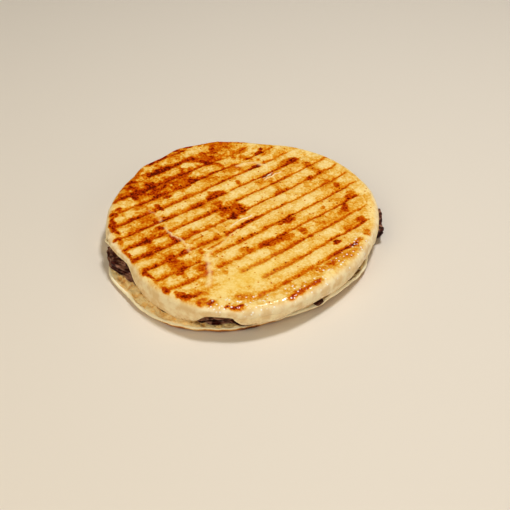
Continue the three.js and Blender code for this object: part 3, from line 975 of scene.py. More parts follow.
    def _dress(self, shell: Shell, side: Array) -> bpy.types.Object:
        """Works out the values that the finish reads, and makes the piece."""
        x, y, z = shell.places().T
        along, across = self.marks.on_marks(x, y)
        # How pale the wrinkles are; the crust finish paints the highest values as a highlight.
        pale = np.zeros(x.shape)
        for fold in FOLDS:
            pale = np.maximum(pale, fold.pale * bell(fold.distance(along, across), fold.width))
        keep = 1.0 - smooth((side - self.toast_from) / self.toast_over)
        azimuth = azimuth_of(x, y)
        inside = self.outline.at(azimuth) - np.hypot(x, y)
        oil = self.oiled.at(azimuth) * (1.0 - smooth((inside - self.oil_reach) / self.oil_soft))
        spot = self.yellow
        values = {
            "toast": self.marks.toast(x, y, BARS, SCORCHES) * keep,
            "side": side,
            "pale": pale * keep,
            "oil": oil * (self.oil_least + self.oil_patchy * self.oil_patches.at(x, y)),
            "yellow": bell(along - spot.along, spot.length) * bell(across - spot.across, spot.width),
            "spongy": (side >= 1.0) * (1.0 - smooth((z - self.edge_height(azimuth)) / self.spongy_height)),
        }
        return shell.build(self.name, values)


@dataclass(frozen=True)
class LowerBread:
    """The thin bread below: a ring of open crumb and a rim that curls up off the surface."""

    name: str = "bread_lower_crumb"
    node: str = "bread_lower"
    outline: Outline = Outline(
        79.7,
        (Lobe(1, 3.2, 141), Lobe(2, 3.4, 124), Lobe(3, 1.9, 2), Lobe(4, 0.7, 240), Lobe(6, 0.6, 90)),
        (Bump(206, 11, 1.4), Bump(181, 5, 3.7), Bump(192, 7, -2.6), Bump(349, 12, -2.8)),
    )
    thickness: float = 4.0
    foot_share: float = 0.8
    rim_thickness: float = 2.2
    rim_lift: float = 1.0
    rim_blend: float = 11.0
    lifted: Stretch = Stretch(306, 344, 7, 1.9)
    wave_size: float = 0.35
    wave_count: int = 11
    wave_peak: float = 320.0
    crumb_ring: float = 24.0
    crumb_steps: int = 50
    crumb_crowding: float = 1.3
    crumb_soft: float = 0.9
    crumb_start: float = 0.3
    lip_steps: int = 8
    curl_steps: int = 10
    round_steps: int = 960
    edge: Noise = Noise(54, 6.0, 3)
    edge_depth: float = 0.45
    lip: Noise = Noise(55, 5.0, 2)
    lip_uneven: float = 0.10
    lumps: Noise = Noise(51, 3.4, 3)
    lump_height: float = 1.1
    rim_cap: float = 1.0
    inner_cap: float = 0.35
    inner_from: float = 2.0
    inner_over: float = 5.0
    # Painted shade in the hollows between the crumb's lumps, carried in the pit value: this share at most,
    # less at the rim.
    hollow_shade_share: float = 0.8
    hollow_shade_rim: float = 0.35
    hollow_shade_from: float = 0.02
    hollow_shade_over: float = 0.45
    pits: int = 1100
    pit_seed: int = 7
    pit_depth: float = 1.2
    pit_least: float = 0.4
    pit_spread: float = 1.5
    pit_edge: float = 2.0
    pit_reach: float = 14.0
    shallowest: float = 0.4
    dip: float = 0.4
    dip_at: float = 3.5
    dip_width: float = 2.5
    torn: Stretch = Stretch(208, 250, 10, 1.1)
    torn_at: float = 6.0
    torn_width: float = 2.6
    tears: Noise = Noise(52, 3.2, 2)
    tear_least: float = 0.7
    tear_uneven: float = 0.6
    toasted_rim: Stretch = Stretch(240, 284, 20)
    under_edge: float = 0.2
    under_soft: float = 0.25
    browned_reach: float = 0.42
    ragged_reach: float = 0.15
    toast_least: float = 0.35
    toast_browned: float = 0.55
    toast_mean: float = 0.85
    toast_uneven: float = 0.4
    toast_ragged: Noise = Noise(53, 5.0, 3)
    stained: Stretch = Stretch(319, 336, 5)
    stain_inset: float = 1.2
    stain_patches: Noise = Noise(56, 3.0, 2)
    stain_soft: float = 0.6

    def lift(self, azimuth: Array) -> Array:
        """How high the rim stands off the surface."""
        wave = self.wave_size * np.cos(np.radians(self.wave_count * (azimuth - self.wave_peak)))
        return self.rim_lift + wave + self.lifted.rise * self.lifted.at(azimuth)

    def crumb_height(self, azimuth: Array, radius: Array) -> Array:
        """The height of the crumb, straight from the rim in to a level middle."""
        inside = self.outline.at(azimuth) - self.rim_thickness / 2 - radius
        share = np.clip(inside / self.rim_blend, 0.0, 1.0)
        return mix(self.lift(azimuth) + self.rim_thickness, self.thickness, share)

    def build(self) -> bpy.types.Object:
        """Builds the bread as one closed mesh.

        Returns:
            The piece, with the values that its finish reads.
        """
        shell = Shell.empty()
        azimuth = np.arange(self.round_steps) * 360.0 / self.round_steps
        rim = polar(NOMINAL_RADIUS, azimuth)
        radius = self.outline.at(azimuth) - self.edge_depth * (1.0 + self.edge.at(*rim))
        half = self.rim_thickness / 2
        insets = np.linspace(1.0, 0.0, self.crumb_steps + 1) ** self.crumb_crowding
        insets = half + self.crumb_ring * insets[:, None]
        place = radius - insets
        around = np.broadcast_to(azimuth, place.shape)
        open_crumb = smooth((insets - half + self.crumb_start) / self.crumb_soft)
        relief, pit = self._crumb(around, place, insets)
        height = self.crumb_height(around, place) + open_crumb * relief
        rings = [shell.ring(azimuth, row, level) for row, level in zip(place, height)]
        low = self.lift(azimuth)
        lip = 1.0 + self.lip_uneven * self.lip.at(*rim)
        for step in range(1, self.lip_steps + 1):
            bend = math.pi * step / self.lip_steps
            edge = radius - half + half * math.sin(bend) * lip
            rings.append(shell.ring(azimuth, edge, low + half * (1 + math.cos(bend))))
        for step in range(1, self.curl_steps + 1):
            share = step / self.curl_steps
            place_in = mix(radius - half, radius * self.foot_share, share)
            rings.append(shell.ring(azimuth, place_in, low * (1.0 - share) ** 2))
        shell.cap(rings[0], self.thickness, up=True)
        shell.bands(rings)
        shell.cap(rings[-1], 0.0, up=False)
        return self._dress(shell, pit, open_crumb)

    def _crumb(self, azimuth: Array, radius: Array, insets: Array) -> tuple[Array, Array]:
        """The relief of the open crumb.

        Args:
            azimuth: The azimuths of its points.
            radius: Their distances from the axis.
            insets: How far each ring of points lies inside the edge.

        Returns:
            How far each point stands up, and how deep in a hole it is, from 0 to 1; the second also holds
            painted shade in the hollows between lumps.
        """
        x, y = polar(radius, azimuth)
        pit = self._pits(azimuth, radius)
        lumps = self.lumps.at(x, y)
        inner = smooth((insets - self.inner_from) / self.inner_over)
        relief = self.lump_height * lumps - self.pit_depth * pit
        relief = np.minimum(relief, mix(self.rim_cap, self.inner_cap, inner))
        torn = self.torn.rise * self.torn.at(azimuth) * bell(insets - self.torn_at, self.torn_width)
        relief += torn * (self.tear_least + self.tear_uneven * self.tears.at(x, y))
        relief -= self.dip * bell(insets - self.dip_at, self.dip_width)
        # Painted shade: hollows between lumps are darkened through the pit value, most towards the inner side
        # by the upper bread.
        painted_hollow_shade = mix(self.hollow_shade_rim, 1.0, inner) * smooth((-lumps - self.hollow_shade_from) / self.hollow_shade_over)
        return relief, np.maximum(pit, self.hollow_shade_share * painted_hollow_shade)

    def _pits(self, azimuth: Array, radius: Array) -> Array:
        """How deep the open holes of the crumb are, from 0 to 1."""
        draw = np.random.default_rng(self.pit_seed)
        depth = np.zeros(azimuth.shape)
        x, y = polar(radius, azimuth)
        for _ in range(self.pits):
            at = np.array([draw.uniform(0.0, 360.0)])
            size = self.pit_least + self.pit_spread * draw.random() ** 3.0
            inset = self.pit_edge + size + self.pit_reach * draw.random() ** 0.8
            pit_x, pit_y = polar(self.outline.at(at) - inset, at)
            hole = 1.0 - smooth(np.hypot(x - pit_x, y - pit_y) / size)
            depth = np.maximum(depth, hole * min(1.0, self.shallowest * (1.0 + size)))
        return depth

    def _dress(self, shell: Shell, pit: Array, open_crumb: Array) -> bpy.types.Object:
        """Works out the values that the finish reads, and makes the piece."""
        x, y, z = shell.places().T
        # holes carries the pit value: the crumb's real holes together with the painted shade in the hollows
        # between lumps.
        holes, crumb = np.zeros(x.shape), np.zeros(x.shape)
        holes[:pit.size] = pit.ravel()
        crumb[:pit.size] = np.broadcast_to(open_crumb, pit.shape).ravel()
        azimuth = azimuth_of(x, y)
        above = (z - self.lift(azimuth)) / self.rim_thickness
        ragged = self.toast_ragged.at(x, y)
        browned = self.toasted_rim.at(azimuth)
        edge = self.under_edge + self.browned_reach * browned + self.ragged_reach * ragged
        under = 1.0 - smooth((above - edge) / self.under_soft)
        under[:pit.size] = 0.0
        toast = under * (self.toast_least + self.toast_browned * browned)
        toast = toast * (self.toast_mean + self.toast_uneven * ragged)
        inside = self.outline.at(azimuth) - np.hypot(x, y)
        stain = self.stained.at(azimuth) * smooth(inside / self.stain_inset - 1.0)
        stain = stain * smooth((self.stain_patches.at(x, y) + 0.5) / self.stain_soft)
        return shell.build(self.name, {"pit": holes, "crumb": crumb, "toast": toast, "stain": stain})


# ---- Filling ----

Row = tuple[Array, Array, float]


@dataclass(frozen=True)
class Slice:
    """One meat slice: its node, the phase of its ruffles, and how far it ends inside at each tongue."""

    node: str
    phase: float
    left: float
    seam: float
    front: float
    corner: float
    right: float
    back: float
    seed: int


@dataclass(frozen=True)
class Filling:
    """Thin slices of cured meat, folded over at their edges, in the gap between the breads."""

    upper: UpperBread
    lower: LowerBread
    slices: tuple[Slice, ...] = (
        Slice("meat_slice_lower", 20, -1.6, 2.2, 5.2, 5.0, -2.6, 5.0, 61),
        Slice("meat_slice_middle", 150, -0.8, 8.5, 4.8, 0.4, -3.8, 3.5, 62),
        Slice("meat_slice_upper", 265, 1.0, 8.5, 2.8, 5.0, -3.6, 6.0, 63),
    )
    tongues: tuple[tuple[str, Stretch], ...] = (
        ("left", Stretch(189, 217, 6)), ("seam", Stretch(221, 240, 5)), ("front", Stretch(251, 275, 4)),
        ("corner", Stretch(300, 306, 3)), ("seam", Stretch(323, 337, 5)), ("right", Stretch(357.5, 376, 5)),
        ("back", Stretch(40, 174, 9)),
    )
    widest: float = 80.8
    widest_from: float = 0.5
    sag: Bump = Bump(205, 10, 2.6)
    clearance: float = 0.5
    arch_clearance: float = 0.22
    slice_inset: float = 8.5
    slice_edge: float = 0.8
    ruffle: float = 0.6
    ruffle_waves: int = 17
    fold_share: float = 0.1
    fold_waves: int = 13
    fold_turn: float = 130.0
    round_steps: int = 1080
    inner_share: float = 0.5
    top_steps: int = 12
    bottom_steps: int = 8
    nose_steps: int = 8
    crease: float = 4.5
    crease_gap: float = 0.06
    crease_steps: tuple[float, ...] = (0.35, 0.7, 1.0)
    middle_size: float = 6.0
    middle_wander: float = 0.22
    tatter_size: float = 5.0
    tatter_power: float = 1.5
    leaf_step: float = 9.0
    tuck: float = 2.6
    ridges: Noise = Noise(64, 5.2, 3)
    ridge_run: float = 0.35
    crinkle: float = 0.6
    crinkle_from: float = 7.0
    crinkle_over: float = 4.0
    open_rise: float = 2.0
    curl: float = 1.3
    curl_over: float = 2.5

    def sheet_height(self, sheet: float, azimuth: Array, radius: Array) -> Array:
        """The height of the sheet between two slices; 0 lies on the lower bread."""
        level = sheet / len(self.slices)
        wave = np.sin(np.radians(self.fold_waves * azimuth + self.fold_turn * sheet))
        fold = self.fold_share * 4 * level * (1 - level) * wave * (radius / self.upper.outline.radius)
        bottom = self.lower.crumb_height(azimuth, radius) + self.clearance / 2
        top = self.upper.underside_height(azimuth, radius) - self.clearance / 2
        top = top - self.arch_clearance * self.upper.arch_rise(azimuth)
        return mix(bottom, top, level + fold)

    def slice_radius(self, piece: Slice, azimuth: Array) -> Array:
        """A slice's outline: hidden inside the breads, with tongues out to where it shows."""
        inset = np.full(azimuth.shape, self.slice_inset)
        for place, stretch in self.tongues:
            inset = mix(inset, getattr(piece, place), stretch.at(azimuth))
        ruffle = self.ruffle * np.sin(np.radians(self.ruffle_waves * azimuth + piece.phase))
        radius = self.upper.outline.at(azimuth) - inset + ruffle + self.sag.at(azimuth)
        return np.minimum(radius, self.widest / np.maximum(np.cos(np.radians(azimuth)), self.widest_from))

    def crinkles(self, azimuth: Array, radius: Array) -> Array:
        """How far the slices crumple up or down, in ridges that run outwards where they show."""
        proud = radius - self.upper.outline.at(azimuth)
        outside = smooth((proud + self.crinkle_from) / self.crinkle_over)
        ridges = self.ridges.at(*polar(NOMINAL_RADIUS, azimuth), radius * self.ridge_run)
        crinkle = self.crinkle * ridges * np.minimum(1.0, self.upper.arch_rise(azimuth) / self.open_rise)
        curl = self.curl * np.clip(proud / self.curl_over, 0.0, 1.0)
        return outside * (crinkle + curl)

    def build(self, index: int) -> bpy.types.Object:
        """Builds one slice, folded into two leaves along its edge.

        Args:
            index: The slice's place in the stack, from below.

        Returns:
            The piece, with the values that its finish reads.
        """
        piece = self.slices[index]
        shell = Shell.empty()
        azimuth = np.arange(self.round_steps) * 360.0 / self.round_steps
        rings, reach = [], []
        for radius, share, nearness in self._rows(piece, azimuth):
            bottom, top = self._faces(index, azimuth, radius)
            height = mix(bottom, top, share) + self.crinkles(azimuth, radius)
            rings.append(shell.ring(azimuth, radius, height))
            reach.append(np.full(azimuth.size, nearness))
        centre = np.zeros(1)
        low, high = (float(face[0]) for face in self._faces(index, centre, centre))
        shell.cap(rings[0], high, up=True)
        shell.bands(rings)
        shell.cap(rings[-1], low, up=False)
        return shell.build(f"{piece.node}_folded", {"edge": np.concatenate([*reach, np.zeros(2)])})

    def _faces(self, index: int, azimuth: Array, radius: Array) -> tuple[Array, Array]:
        """The heights of a slice's lower and upper side."""
        bottom = self.sheet_height(index, azimuth, radius) + self.clearance / 2
        return bottom, self.sheet_height(index + 1, azimuth, radius) - self.clearance / 2

    def _rows(self, piece: Slice, azimuth: Array) -> list[Row]:
        """The rings of a slice, from its upper side round the edges of its two leaves to its lower side.

        Args:
            piece: The slice.
            azimuth: The azimuths of the rings' points.

        Returns:
            Each ring's radius, its share of the slice's height, and how near it lies to the edge.
        """
        outline = self.slice_radius(piece, azimuth)
        corner = self.upper.outline.at(azimuth) - self.upper.corner_inset
        flat = corner - self.upper.underside_blend
        bend = np.minimum(corner, outline - self.slice_edge)
        full, none = np.ones(azimuth.size), np.zeros(azimuth.size)
        around = polar(NOMINAL_RADIUS, azimuth)
        middle = 0.5 + self.middle_wander * Noise(piece.seed + 10, self.middle_size, 2).at(*around)
        tatters = Noise(piece.seed, self.tatter_size, 2)
        edges = []
        for leaf in (0, 1):
            tatter = np.maximum(0.5 + 0.5 * tatters.at(*around, self.leaf_step * leaf), 0.0)
            edges.append(outline - self.tuck * tatter**self.tatter_power)
        deepest = np.minimum(*edges) - self.slice_edge - self.crease

        def side(edge: Array, share: Array, insets: Array) -> list[Row]:
            """Rings along the upper or lower side, between where the breads are level and an edge."""
            start = np.minimum(bend, edge - self.slice_edge)
            return [(mix(start, np.minimum(flat, start), inset), share, 1.0 - inset) for inset in insets]

        def nose(edge: Array, high: Array, low: Array) -> list[Row]:
            """Rings round the edge of a leaf."""
            rows = []
            for turned in np.linspace(0.0, math.pi, self.nose_steps + 1):
                place = edge - self.slice_edge * (1.0 - math.sin(turned))
                rows.append((place, mix((high + low) / 2, high, math.cos(turned)), 1.0))
            return rows

        def crease(edge: Array, gap: float, insets: Sequence[float]) -> list[Row]:
            """Rings along one side of the crease between the leaves."""
            outer = edge - self.slice_edge
            return [(mix(outer, deepest, inset), middle + gap * (1 - inset), 1.0 - inset) for inset in insets]

        gap = self.crease_gap
        return [
            (flat * self.inner_share, full, 0.0),
            (flat, full, 0.0),
            *side(edges[0], full, np.linspace(1.0, 0.0, self.top_steps)),
            *nose(edges[0], full, middle + gap),
            *crease(edges[0], gap, self.crease_steps),
            *crease(edges[1], -gap, self.crease_steps[-2::-1]),
            *nose(edges[1], middle - gap, none),
            *side(edges[1], none, np.linspace(0.0, 1.0, self.bottom_steps)),
            (flat, none, 0.0),
            (flat * self.inner_share, none, 0.0),
        ]


# ---- Finishes ----


@dataclass(frozen=True)
class CrustFinish:
    """Toasted bread skin: pale side, golden face, orange-brown marks and dark scorches, with a painted
    highlight on the palest creases and painted glint flecks on the oiled rim.
    """

    stops: tuple[tuple[float, Colour], ...] = (
        (0.00, Colour(248, 220, 148)),
        (0.10, Colour(240, 200, 110)),
        (0.21, Colour(232, 176, 72)),
        (0.31, Colour(226, 159, 46)),
        (0.40, Colour(220, 142, 27)),
        (0.50, Colour(212, 123, 13)),
        (0.60, Colour(205, 104, 4)),
        (0.70, Colour(195, 84, 2)),
        (0.80, Colour(182, 64, 2)),
        (0.88, Colour(166, 48, 2)),
        (0.95, Colour(138, 29, 2)),
        (1.00, Colour(88, 20, 4)),
    )
    side: Colour = Colour(248, 230, 186)
    side_deep: Colour = Colour(232, 200, 146)
    sponge: Colour = Colour(196, 146, 84)
    wrinkle: Colour = Colour(252, 224, 160)
    oily: Colour = Colour(246, 206, 84)
    # Near-white painted highlight, laid into the base colour on the palest creases and as flecks on the oiled
    # rim.
    glint: Colour = Colour(255, 253, 244)
    grain: float = 1.3
    mottle: float = 5.5
    grainy: float = 2.1
    mottled: float = 0.5
    pore_cells: float = 3.4
    pore_toast: float = 0.6
    oily_share: float = 0.45
    sponge_cells: float = 2.0
    sponge_share: float = 0.85
    painted_crease_glint_share: float = 0.8
    # Spacing of the painted glint flecks on the oiled rim.
    painted_glint_cells: float = 2.2
    rough: float = 0.62
    rough_spread: float = 0.25
    fine_grain: float = 0.5
    bump: tuple[float, float] = (0.22, 0.55)

    def material(self) -> bpy.types.Material:
        """Builds the finish."""
        shader = Shader("toasted_crust", {"Specular IOR Level": 0.0, "Coat Roughness": 0.1, "Coat IOR": 1.45})
        toast, side = shader.value("toast"), shader.value("side")
        pale, oil = shader.value("pale"), shader.value("oil")
        grain = shader.noise(self.grain, 4.0, 0.6)
        mottle = shader.noise(self.mottle, 3.0, 0.55)
        # Toast, which the grain breaks up most where it is half done.
        uneven = (grain - 0.5) * self.grainy + (mottle - 0.5) * self.mottled
        level = toast + uneven * (toast * (1.0 - toast) * 1.6 + toast * 0.25 + 0.15)
        pores = (1.0 - shader.cells(self.pore_cells).step(0.1, 0.2)) * mottle.step(0.46, 0.54)
        level = level + pores * self.pore_toast * (1.0 - side)
        colour = shader.ramp(level.clamped(), self.stops)
        oily = shader.value("yellow") * self.oily_share * (1.0 - toast)
        colour = shader.blend(colour, self.oily, oily.clamped())
        # The pale side, with holes low down.
        skin = shader.blend(self.side_deep, self.side, mottle.step(0.35, 0.65))
        spongy = shader.value("spongy") * (1.0 - shader.cells(self.sponge_cells).step(0.16, 0.46))
        skin = shader.blend(skin, self.sponge, (spongy * self.sponge_share).clamped())
        untoasted = side.step(0.05, 0.7) * (1.0 - toast.step(0.05, 0.5))
        colour = shader.blend(colour, skin, untoasted.clamped())
        # Folds, with a painted highlight on the palest creases, and painted glint flecks on the oiled rim.
        colour = shader.blend(colour, self.wrinkle, (pale * grain.step(0.22, 0.46)).clamped())
        painted_crease_glint = pale.step(0.62, 0.84) * grain.step(0.36, 0.52) * self.painted_crease_glint_share
        colour = shader.blend(colour, self.glint, painted_crease_glint.clamped())
        # Painted highlight: near-white flecks on the oiled rim, standing in for its glints.
        painted_glint_flecks = (1.0 - shader.cells(self.painted_glint_cells).step(0.16, 0.3)) * grain.step(0.38, 0.48)
        painted_glint_flecks = painted_glint_flecks * oil.step(0.25, 0.6) * (1.0 - side.step(0.55, 1.0))
        colour = shader.blend(colour, self.glint, painted_glint_flecks.clamped())
        rough = self.rough + (grain - 0.5) * self.rough_spread
        relief = grain * 0.7 + shader.noise(self.fine_grain, 2.0) * 0.3
        normal = shader.bump(relief, *self.bump)
        return shader.finish(Base_Color=colour, Roughness=rough, Coat_Weight=oil.clamped(), Normal=normal)


@dataclass(frozen=True)
class CrumbFinish:
    """Open crumb with amber pits and painted shade in its hollows, in a thin pale skin that is toasted
    underneath.
    """

    crumb: Colour = Colour(255, 233, 174)
    crumb_deep: Colour = Colour(255, 204, 112)
    # Amber of the crumb's holes, also used as painted shade in the hollows between lumps.
    hole: Colour = Colour(206, 142, 56)
    stained: Colour = Colour(110, 52, 18)
    stops: tuple[tuple[float, Colour], ...] = (
        (0.0, Colour(255, 243, 204)), (0.35, Colour(228, 176, 92)), (0.65, Colour(176, 100, 34)),
        (1.0, Colour(84, 40, 16)),
    )
    grain: float = 0.9
    mottle: float = 4.0
    hole_and_shade_share: float = 0.7
    rough: float = 0.72
    rough_spread: float = 0.2
    bump: tuple[float, float] = (0.35, 0.55)

    def material(self) -> bpy.types.Material:
        """Builds the finish."""
        shader = Shader("bread_crumb", {"IOR": 1.4})
        pit, crumb, toast = shader.value("pit"), shader.value("crumb"), shader.value("toast")
        grain = shader.noise(self.grain, 4.0, 0.65)
        mottle = shader.noise(self.mottle, 3.0)
        darker = mottle.step(0.42, 0.66) * 0.65 + grain.step(0.46, 0.62) * 0.45
        open_side = shader.blend(self.crumb, self.crumb_deep, darker.clamped())
        # The pit value holds both real holes and painted shade in the hollows.
        open_side = shader.blend(open_side, self.hole, (pit.step(0.15, 0.75) * self.hole_and_shade_share).clamped())
        stain = shader.value("stain") * grain.step(0.35, 0.6)
        open_side = shader.blend(open_side, self.stained, stain.clamped())
        shut_side = shader.ramp((toast + (grain - 0.5) * toast * 0.6).clamped(), self.stops)
        colour = shader.blend(shut_side, open_side, crumb)
        rough = self.rough + (grain - 0.5) * self.rough_spread
        normal = shader.bump(grain * 0.6 + shader.cells(self.grain) * 0.6, *self.bump)
        return shader.finish(Base_Color=colour, Roughness=rough, Normal=normal)


@dataclass(frozen=True)
class MeatFinish:
    """Moist dark cured meat, purple-brown, with paler edges that are partly its own colour and partly a
    painted highlight along the folds.
    """

    deep: Colour = Colour(40, 8, 4)
    middle: Colour = Colour(78, 24, 13)
    light: Colour = Colour(132, 76, 54)
    # Paler colour along the folded edges: partly the meat's own edge, partly a painted highlight.
    rim: Colour = Colour(184, 134, 108)
    grain: float = 1.8
    streak: float = 4.5
    light_share: float = 0.6
    moist_share: float = 0.35
    rough: float = 0.5
    rough_spread: float = 0.3
    bump: tuple[float, float] = (0.25, 0.5)

    def material(self) -> bpy.types.Material:
        """Builds the finish."""
        shader = Shader("cured_meat", {"IOR": 1.33, "Coat Roughness": 0.2})
        grain = shader.noise(self.grain, 4.0, 0.6)
        streak = shader.noise(self.streak, 2.0)
        base = shader.blend(self.deep, self.middle, grain.step(0.38, 0.62))
        colour = shader.blend(base, self.light, (streak.step(0.56, 0.66) * self.light_share).clamped())
        # Painted highlight, with some paler edge colour, where the folded edges lie.
        pale_edge_and_highlight = shader.value("edge").step(0.93, 1.0) * streak.step(0.46, 0.6) * self.light_share
        colour = shader.blend(colour, self.rim, pale_edge_and_highlight.clamped())
        rough = self.rough + (grain - 0.5) * self.rough_spread
        moist = (streak.step(0.5, 0.64) * self.moist_share).clamped()
        normal = shader.bump(grain, *self.bump)
        return shader.finish(Base_Color=colour, Roughness=rough, Coat_Weight=moist, Normal=normal)


class Slot(Enum):
    """The record's material slots."""

    CRUST = "crust"
    CRUMB = "crumb"
    MEAT = "meat"


# ---- Scattered crumbs ----


@dataclass(frozen=True)
class Crumbs:
    """Loose crumbs strewn by Geometry Nodes over part of a piece."""

    name: str
    field: str
    per_square_mm: float
    smallest: float
    largest: float
    flatness: float
    seed: int
    narrowness: float = 0.75
    lumpiness: float = 0.7
    lump_scale: float = 2.6

    def build(self, host: bpy.types.Object, material: bpy.types.Material) -> bpy.types.Object:
        """Strews the crumbs.

        Args:
            host: The piece they lie on; its field says where they may lie.
            material: Their finish.

        Returns:
            The crumbs as one plain mesh.
        """
        group = self._tree(material)
        piece = bpy.data.objects.new(self.name, host.data.copy())
        bpy.context.scene.collection.objects.link(piece)
        modifier = piece.modifiers.new("crumbs", "NODES")
        modifier.node_group = group
        sizes = {
            "Density": self.per_square_mm / MM**2,
            "Smallest": self.smallest * MM,
            "Largest": self.largest * MM,
            "Flatness": self.flatness,
            "Seed": self.seed,
        }
        for item in group.interface.items_tree:
            if item.item_type == "SOCKET" and item.name in sizes:
                modifier[item.identifier] = sizes[item.name]
        evaluated = piece.evaluated_get(bpy.context.evaluated_depsgraph_get())
        mesh = bpy.data.meshes.new_from_object(evaluated)
        host_copy = piece.data
        piece.modifiers.clear()
        piece.data = mesh
        bpy.data.meshes.remove(host_copy)
        mesh.name = self.name
        return piece

    def _tree(self, material: bpy.types.Material) -> bpy.types.GeometryNodeTree:
        """Builds the node tree that strews them."""
        group = bpy.data.node_groups.new(self.name, "GeometryNodeTree")
        sockets = {
            "Geometry": "NodeSocketGeometry", "Density": "NodeSocketFloat", "Smallest": "NodeSocketFloat",
            "Largest": "NodeSocketFloat", "Flatness": "NodeSocketFloat", "Seed": "NodeSocketInt",
        }
        for name, kind in sockets.items():
            group.interface.new_socket(name, in_out="INPUT", socket_type=kind)
        group.interface.new_socket("Geometry", in_out="OUTPUT", socket_type="NodeSocketGeometry")
        tree = Tree(group)
        source = tree.node("NodeGroupInput").socket.node
        given = {name: Wire(tree, source.outputs[name]) for name in sockets}
        where = tree.node("GeometryNodeInputNamedAttribute", {"data_type": "FLOAT"}, {"Name": self.field})
        points = tree.node(
            "GeometryNodeDistributePointsOnFaces",
            {"distribute_method": "RANDOM"},
            {"Mesh": given["Geometry"], "Density": given["Density"] * where, "Seed": given["Seed"]},
            "Points",
        )
        turned = points.socket.node.outputs["Rotation"]
        size = self._draw(tree, given["Smallest"], given["Largest"], given["Seed"])
        spin = self._draw(tree, 0.0, 2 * math.pi, given["Seed"] + 1.0)
        twist = tree.node("ShaderNodeCombineXYZ", {}, {"Z": spin})
        twist = tree.node("FunctionNodeEulerToRotation", {}, {"Euler": twist})
        ends = {"Rotation": Wire(tree, turned), "Rotate By": twist}
        rotation = tree.node("FunctionNodeRotateRotation", {"rotation_space": "LOCAL"}, ends)
        ball = tree.node("GeometryNodeMeshIcoSphere", {}, {"Radius": 0.5, "Subdivisions": 2}, "Mesh")
        lumps = {"Vector": tree.node("GeometryNodeInputPosition"), "Scale": self.lump_scale}
        rough = tree.node("ShaderNodeTexNoise", {"noise_dimensions": "3D"}, lumps, "Color")
        ends = {0: rough, 1: (self.lumpiness,) * 3, 2: (-self.lumpiness / 2,) * 3}
        shift = tree.node("ShaderNodeVectorMath", {"operation": "MULTIPLY_ADD"}, ends)
        lumpy = tree.node("GeometryNodeSetPosition", {}, {"Geometry": ball, "Offset": shift})
        sizes = {"X": size, "Y": size * self.narrowness, "Z": size * given["Flatness"]}
        scale = tree.node("ShaderNodeCombineXYZ", {}, sizes)
        strewn = tree.node("GeometryNodeInstanceOnPoints", {}, {
            "Points": points, "Instance": lumpy, "Rotation": rotation, "Scale": scale,
        })
        real = tree.node("GeometryNodeRealizeInstances", {}, {"Geometry": strewn})
        done = tree.node("GeometryNodeSetMaterial", {}, {"Geometry": real, "Material": material})
        tree.node("NodeGroupOutput", {}, {"Geometry": done})
        return group

    @staticmethod
    def _draw(tree: Tree, least: Wire | float, most: Wire | float, seed: Wire) -> Wire:
        """A random number for each crumb."""
        ends = {"Min_001": least, "Max_001": most, "Seed": seed}
        return tree.node("FunctionNodeRandomValue", {"data_type": "FLOAT"}, ends, "Value_001")


# ---- The stage ----


@dataclass(frozen=True)
class Softbox:
    """A soft studio light, placed by where it hangs and aimed at the food."""

    name: str
    azimuth: float
    elevation: float
    distance: float
    width: float
    power: float
    tint: Colour

    def build(self) -> None:
        """Hangs the light."""
        data = bpy.data.lights.new(self.name, "AREA")
        data.shape = "SQUARE"
        data.size = self.width
        data.energy = self.power
        data.color = self.tint.linear()[:3]
        light = bpy.data.objects.new(self.name, data)
        elevation = math.radians(self.elevation)
        x, y = polar(self.distance * math.cos(elevation), self.azimuth)
        light.location = (x, y, self.distance * math.sin(elevation))
        light.rotation_euler = (-light.location).to_track_quat("-Z", "Y").to_euler()
        bpy.context.scene.collection.objects.link(light)


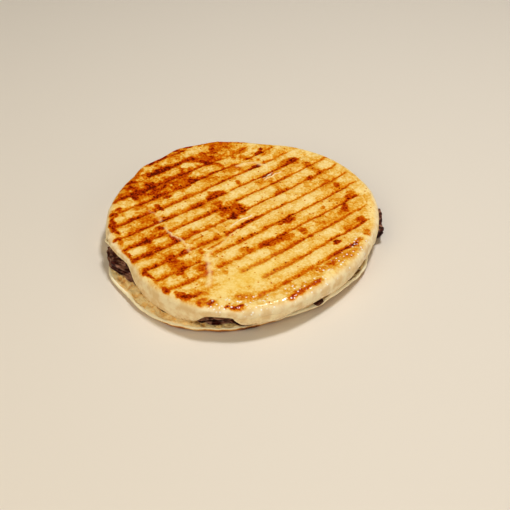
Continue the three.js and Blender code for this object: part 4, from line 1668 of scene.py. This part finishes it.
@dataclass(frozen=True)
class Stage:
    """A plain pale floor, soft light, and a camera at the photograph's angle."""

    floor_size: float = 3.0
    floor_colour: Colour = Colour(228, 219, 204)
    floor_rough: float = 0.6
    sky: Colour = Colour(255, 241, 216)
    sky_strength: float = 0.10
    eye: tuple[float, float, float] = (5.88, -478.66, 354.32)
    target: tuple[float, float, float] = (5.88, -39.31, 20.0)
    view_angle: float = 28.0
    lights: tuple[Softbox, ...] = (
        Softbox("light_main", 34.0, 75.0, 1.1, 0.18, 7.4, Colour(250, 251, 255)),
        Softbox("light_fill", 236.0, 39.0, 1.2, 0.9, 6.9, Colour(255, 242, 218)),
        Softbox("light_side", 332.0, 24.0, 1.2, 0.9, 3.7, Colour(255, 245, 228)),
    )

    def build(self) -> None:
        """Sets the stage up."""
        self._floor()
        self._camera()
        for light in self.lights:
            light.build()
        world = bpy.data.worlds.new("studio")
        world.use_nodes = True
        backdrop = world.node_tree.nodes["Background"]
        backdrop.inputs["Color"].default_value = self.sky.linear()
        backdrop.inputs["Strength"].default_value = self.sky_strength
        bpy.context.scene.world = world
        bpy.context.scene.view_settings.view_transform = "Standard"

    def _floor(self) -> None:
        """Lays the floor."""
        half = self.floor_size / 2
        mesh = bpy.data.meshes.new("floor")
        corners = [(x * half, y * half, 0.0) for x, y in ((-1, -1), (1, -1), (1, 1), (-1, 1))]
        mesh.from_pydata(corners, [], [(0, 1, 2, 3)])
        floor = bpy.data.objects.new("floor", mesh)
        bpy.context.scene.collection.objects.link(floor)
        constants = {"Base Color": self.floor_colour.linear(), "Roughness": self.floor_rough}
        mesh.materials.append(Shader("pale_floor", constants).material)

    def _camera(self) -> None:
        """Places the camera."""
        data = bpy.data.cameras.new("camera")
        data.angle = math.radians(self.view_angle)
        camera = bpy.data.objects.new("camera", data)
        camera.location = Vector(self.eye) * MM
        towards = Vector(self.target) * MM - camera.location
        camera.rotation_euler = towards.to_track_quat("-Z", "Y").to_euler()
        bpy.context.scene.collection.objects.link(camera)
        bpy.context.scene.camera = camera


# ---- The sandwich ----


@dataclass(frozen=True)
class Sandwich:
    """The whole food: two breads, three slices and their crumbs."""

    upper: UpperBread = UpperBread()
    lower: LowerBread = LowerBread()
    crust: CrustFinish = CrustFinish()
    crumb: CrumbFinish = CrumbFinish()
    meat: MeatFinish = MeatFinish()
    loose: Crumbs = Crumbs("crumbs_loose", "crumb", 0.02, 0.35, 1.3, 0.7, 5)

    def build(self) -> None:
        """Builds every piece in order, and hides the imported parts that they stand in for."""
        crust, crumb, meat = (finish.material() for finish in (self.crust, self.crumb, self.meat))
        upper = self.upper.build()
        self._dress(upper, crust, Slot.CRUST, self.upper.node)
        lower = self.lower.build()
        self._dress(lower, crumb, Slot.CRUMB, self.lower.node)
        filling = Filling(self.upper, self.lower)
        for index, piece in enumerate(filling.slices):
            self._dress(filling.build(index), meat, Slot.MEAT, piece.node)
        self._dress(self.loose.build(lower, crumb), None, Slot.CRUMB, None)

    @staticmethod
    def _dress(
        piece: bpy.types.Object, material: bpy.types.Material | None, slot: Slot, node: str | None
    ) -> None:
        """Gives a piece its finish and its body, and hides the imported part that it stands in for."""
        if material:
            piece.data.materials.append(material)
        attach(piece, BODY)
        if node:
            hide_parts(node)
        faces = sum(len(face.vertices) - 2 for face in piece.data.polygons)
        LOG.info("%s: %d triangles", piece.name, faces)


def main() -> None:
    """Builds the stage and the sandwich."""
    logging.basicConfig(level=logging.INFO, format="%(message)s")
    Stage().build()
    Sandwich().build()


if __name__ == "__main__":
    main()
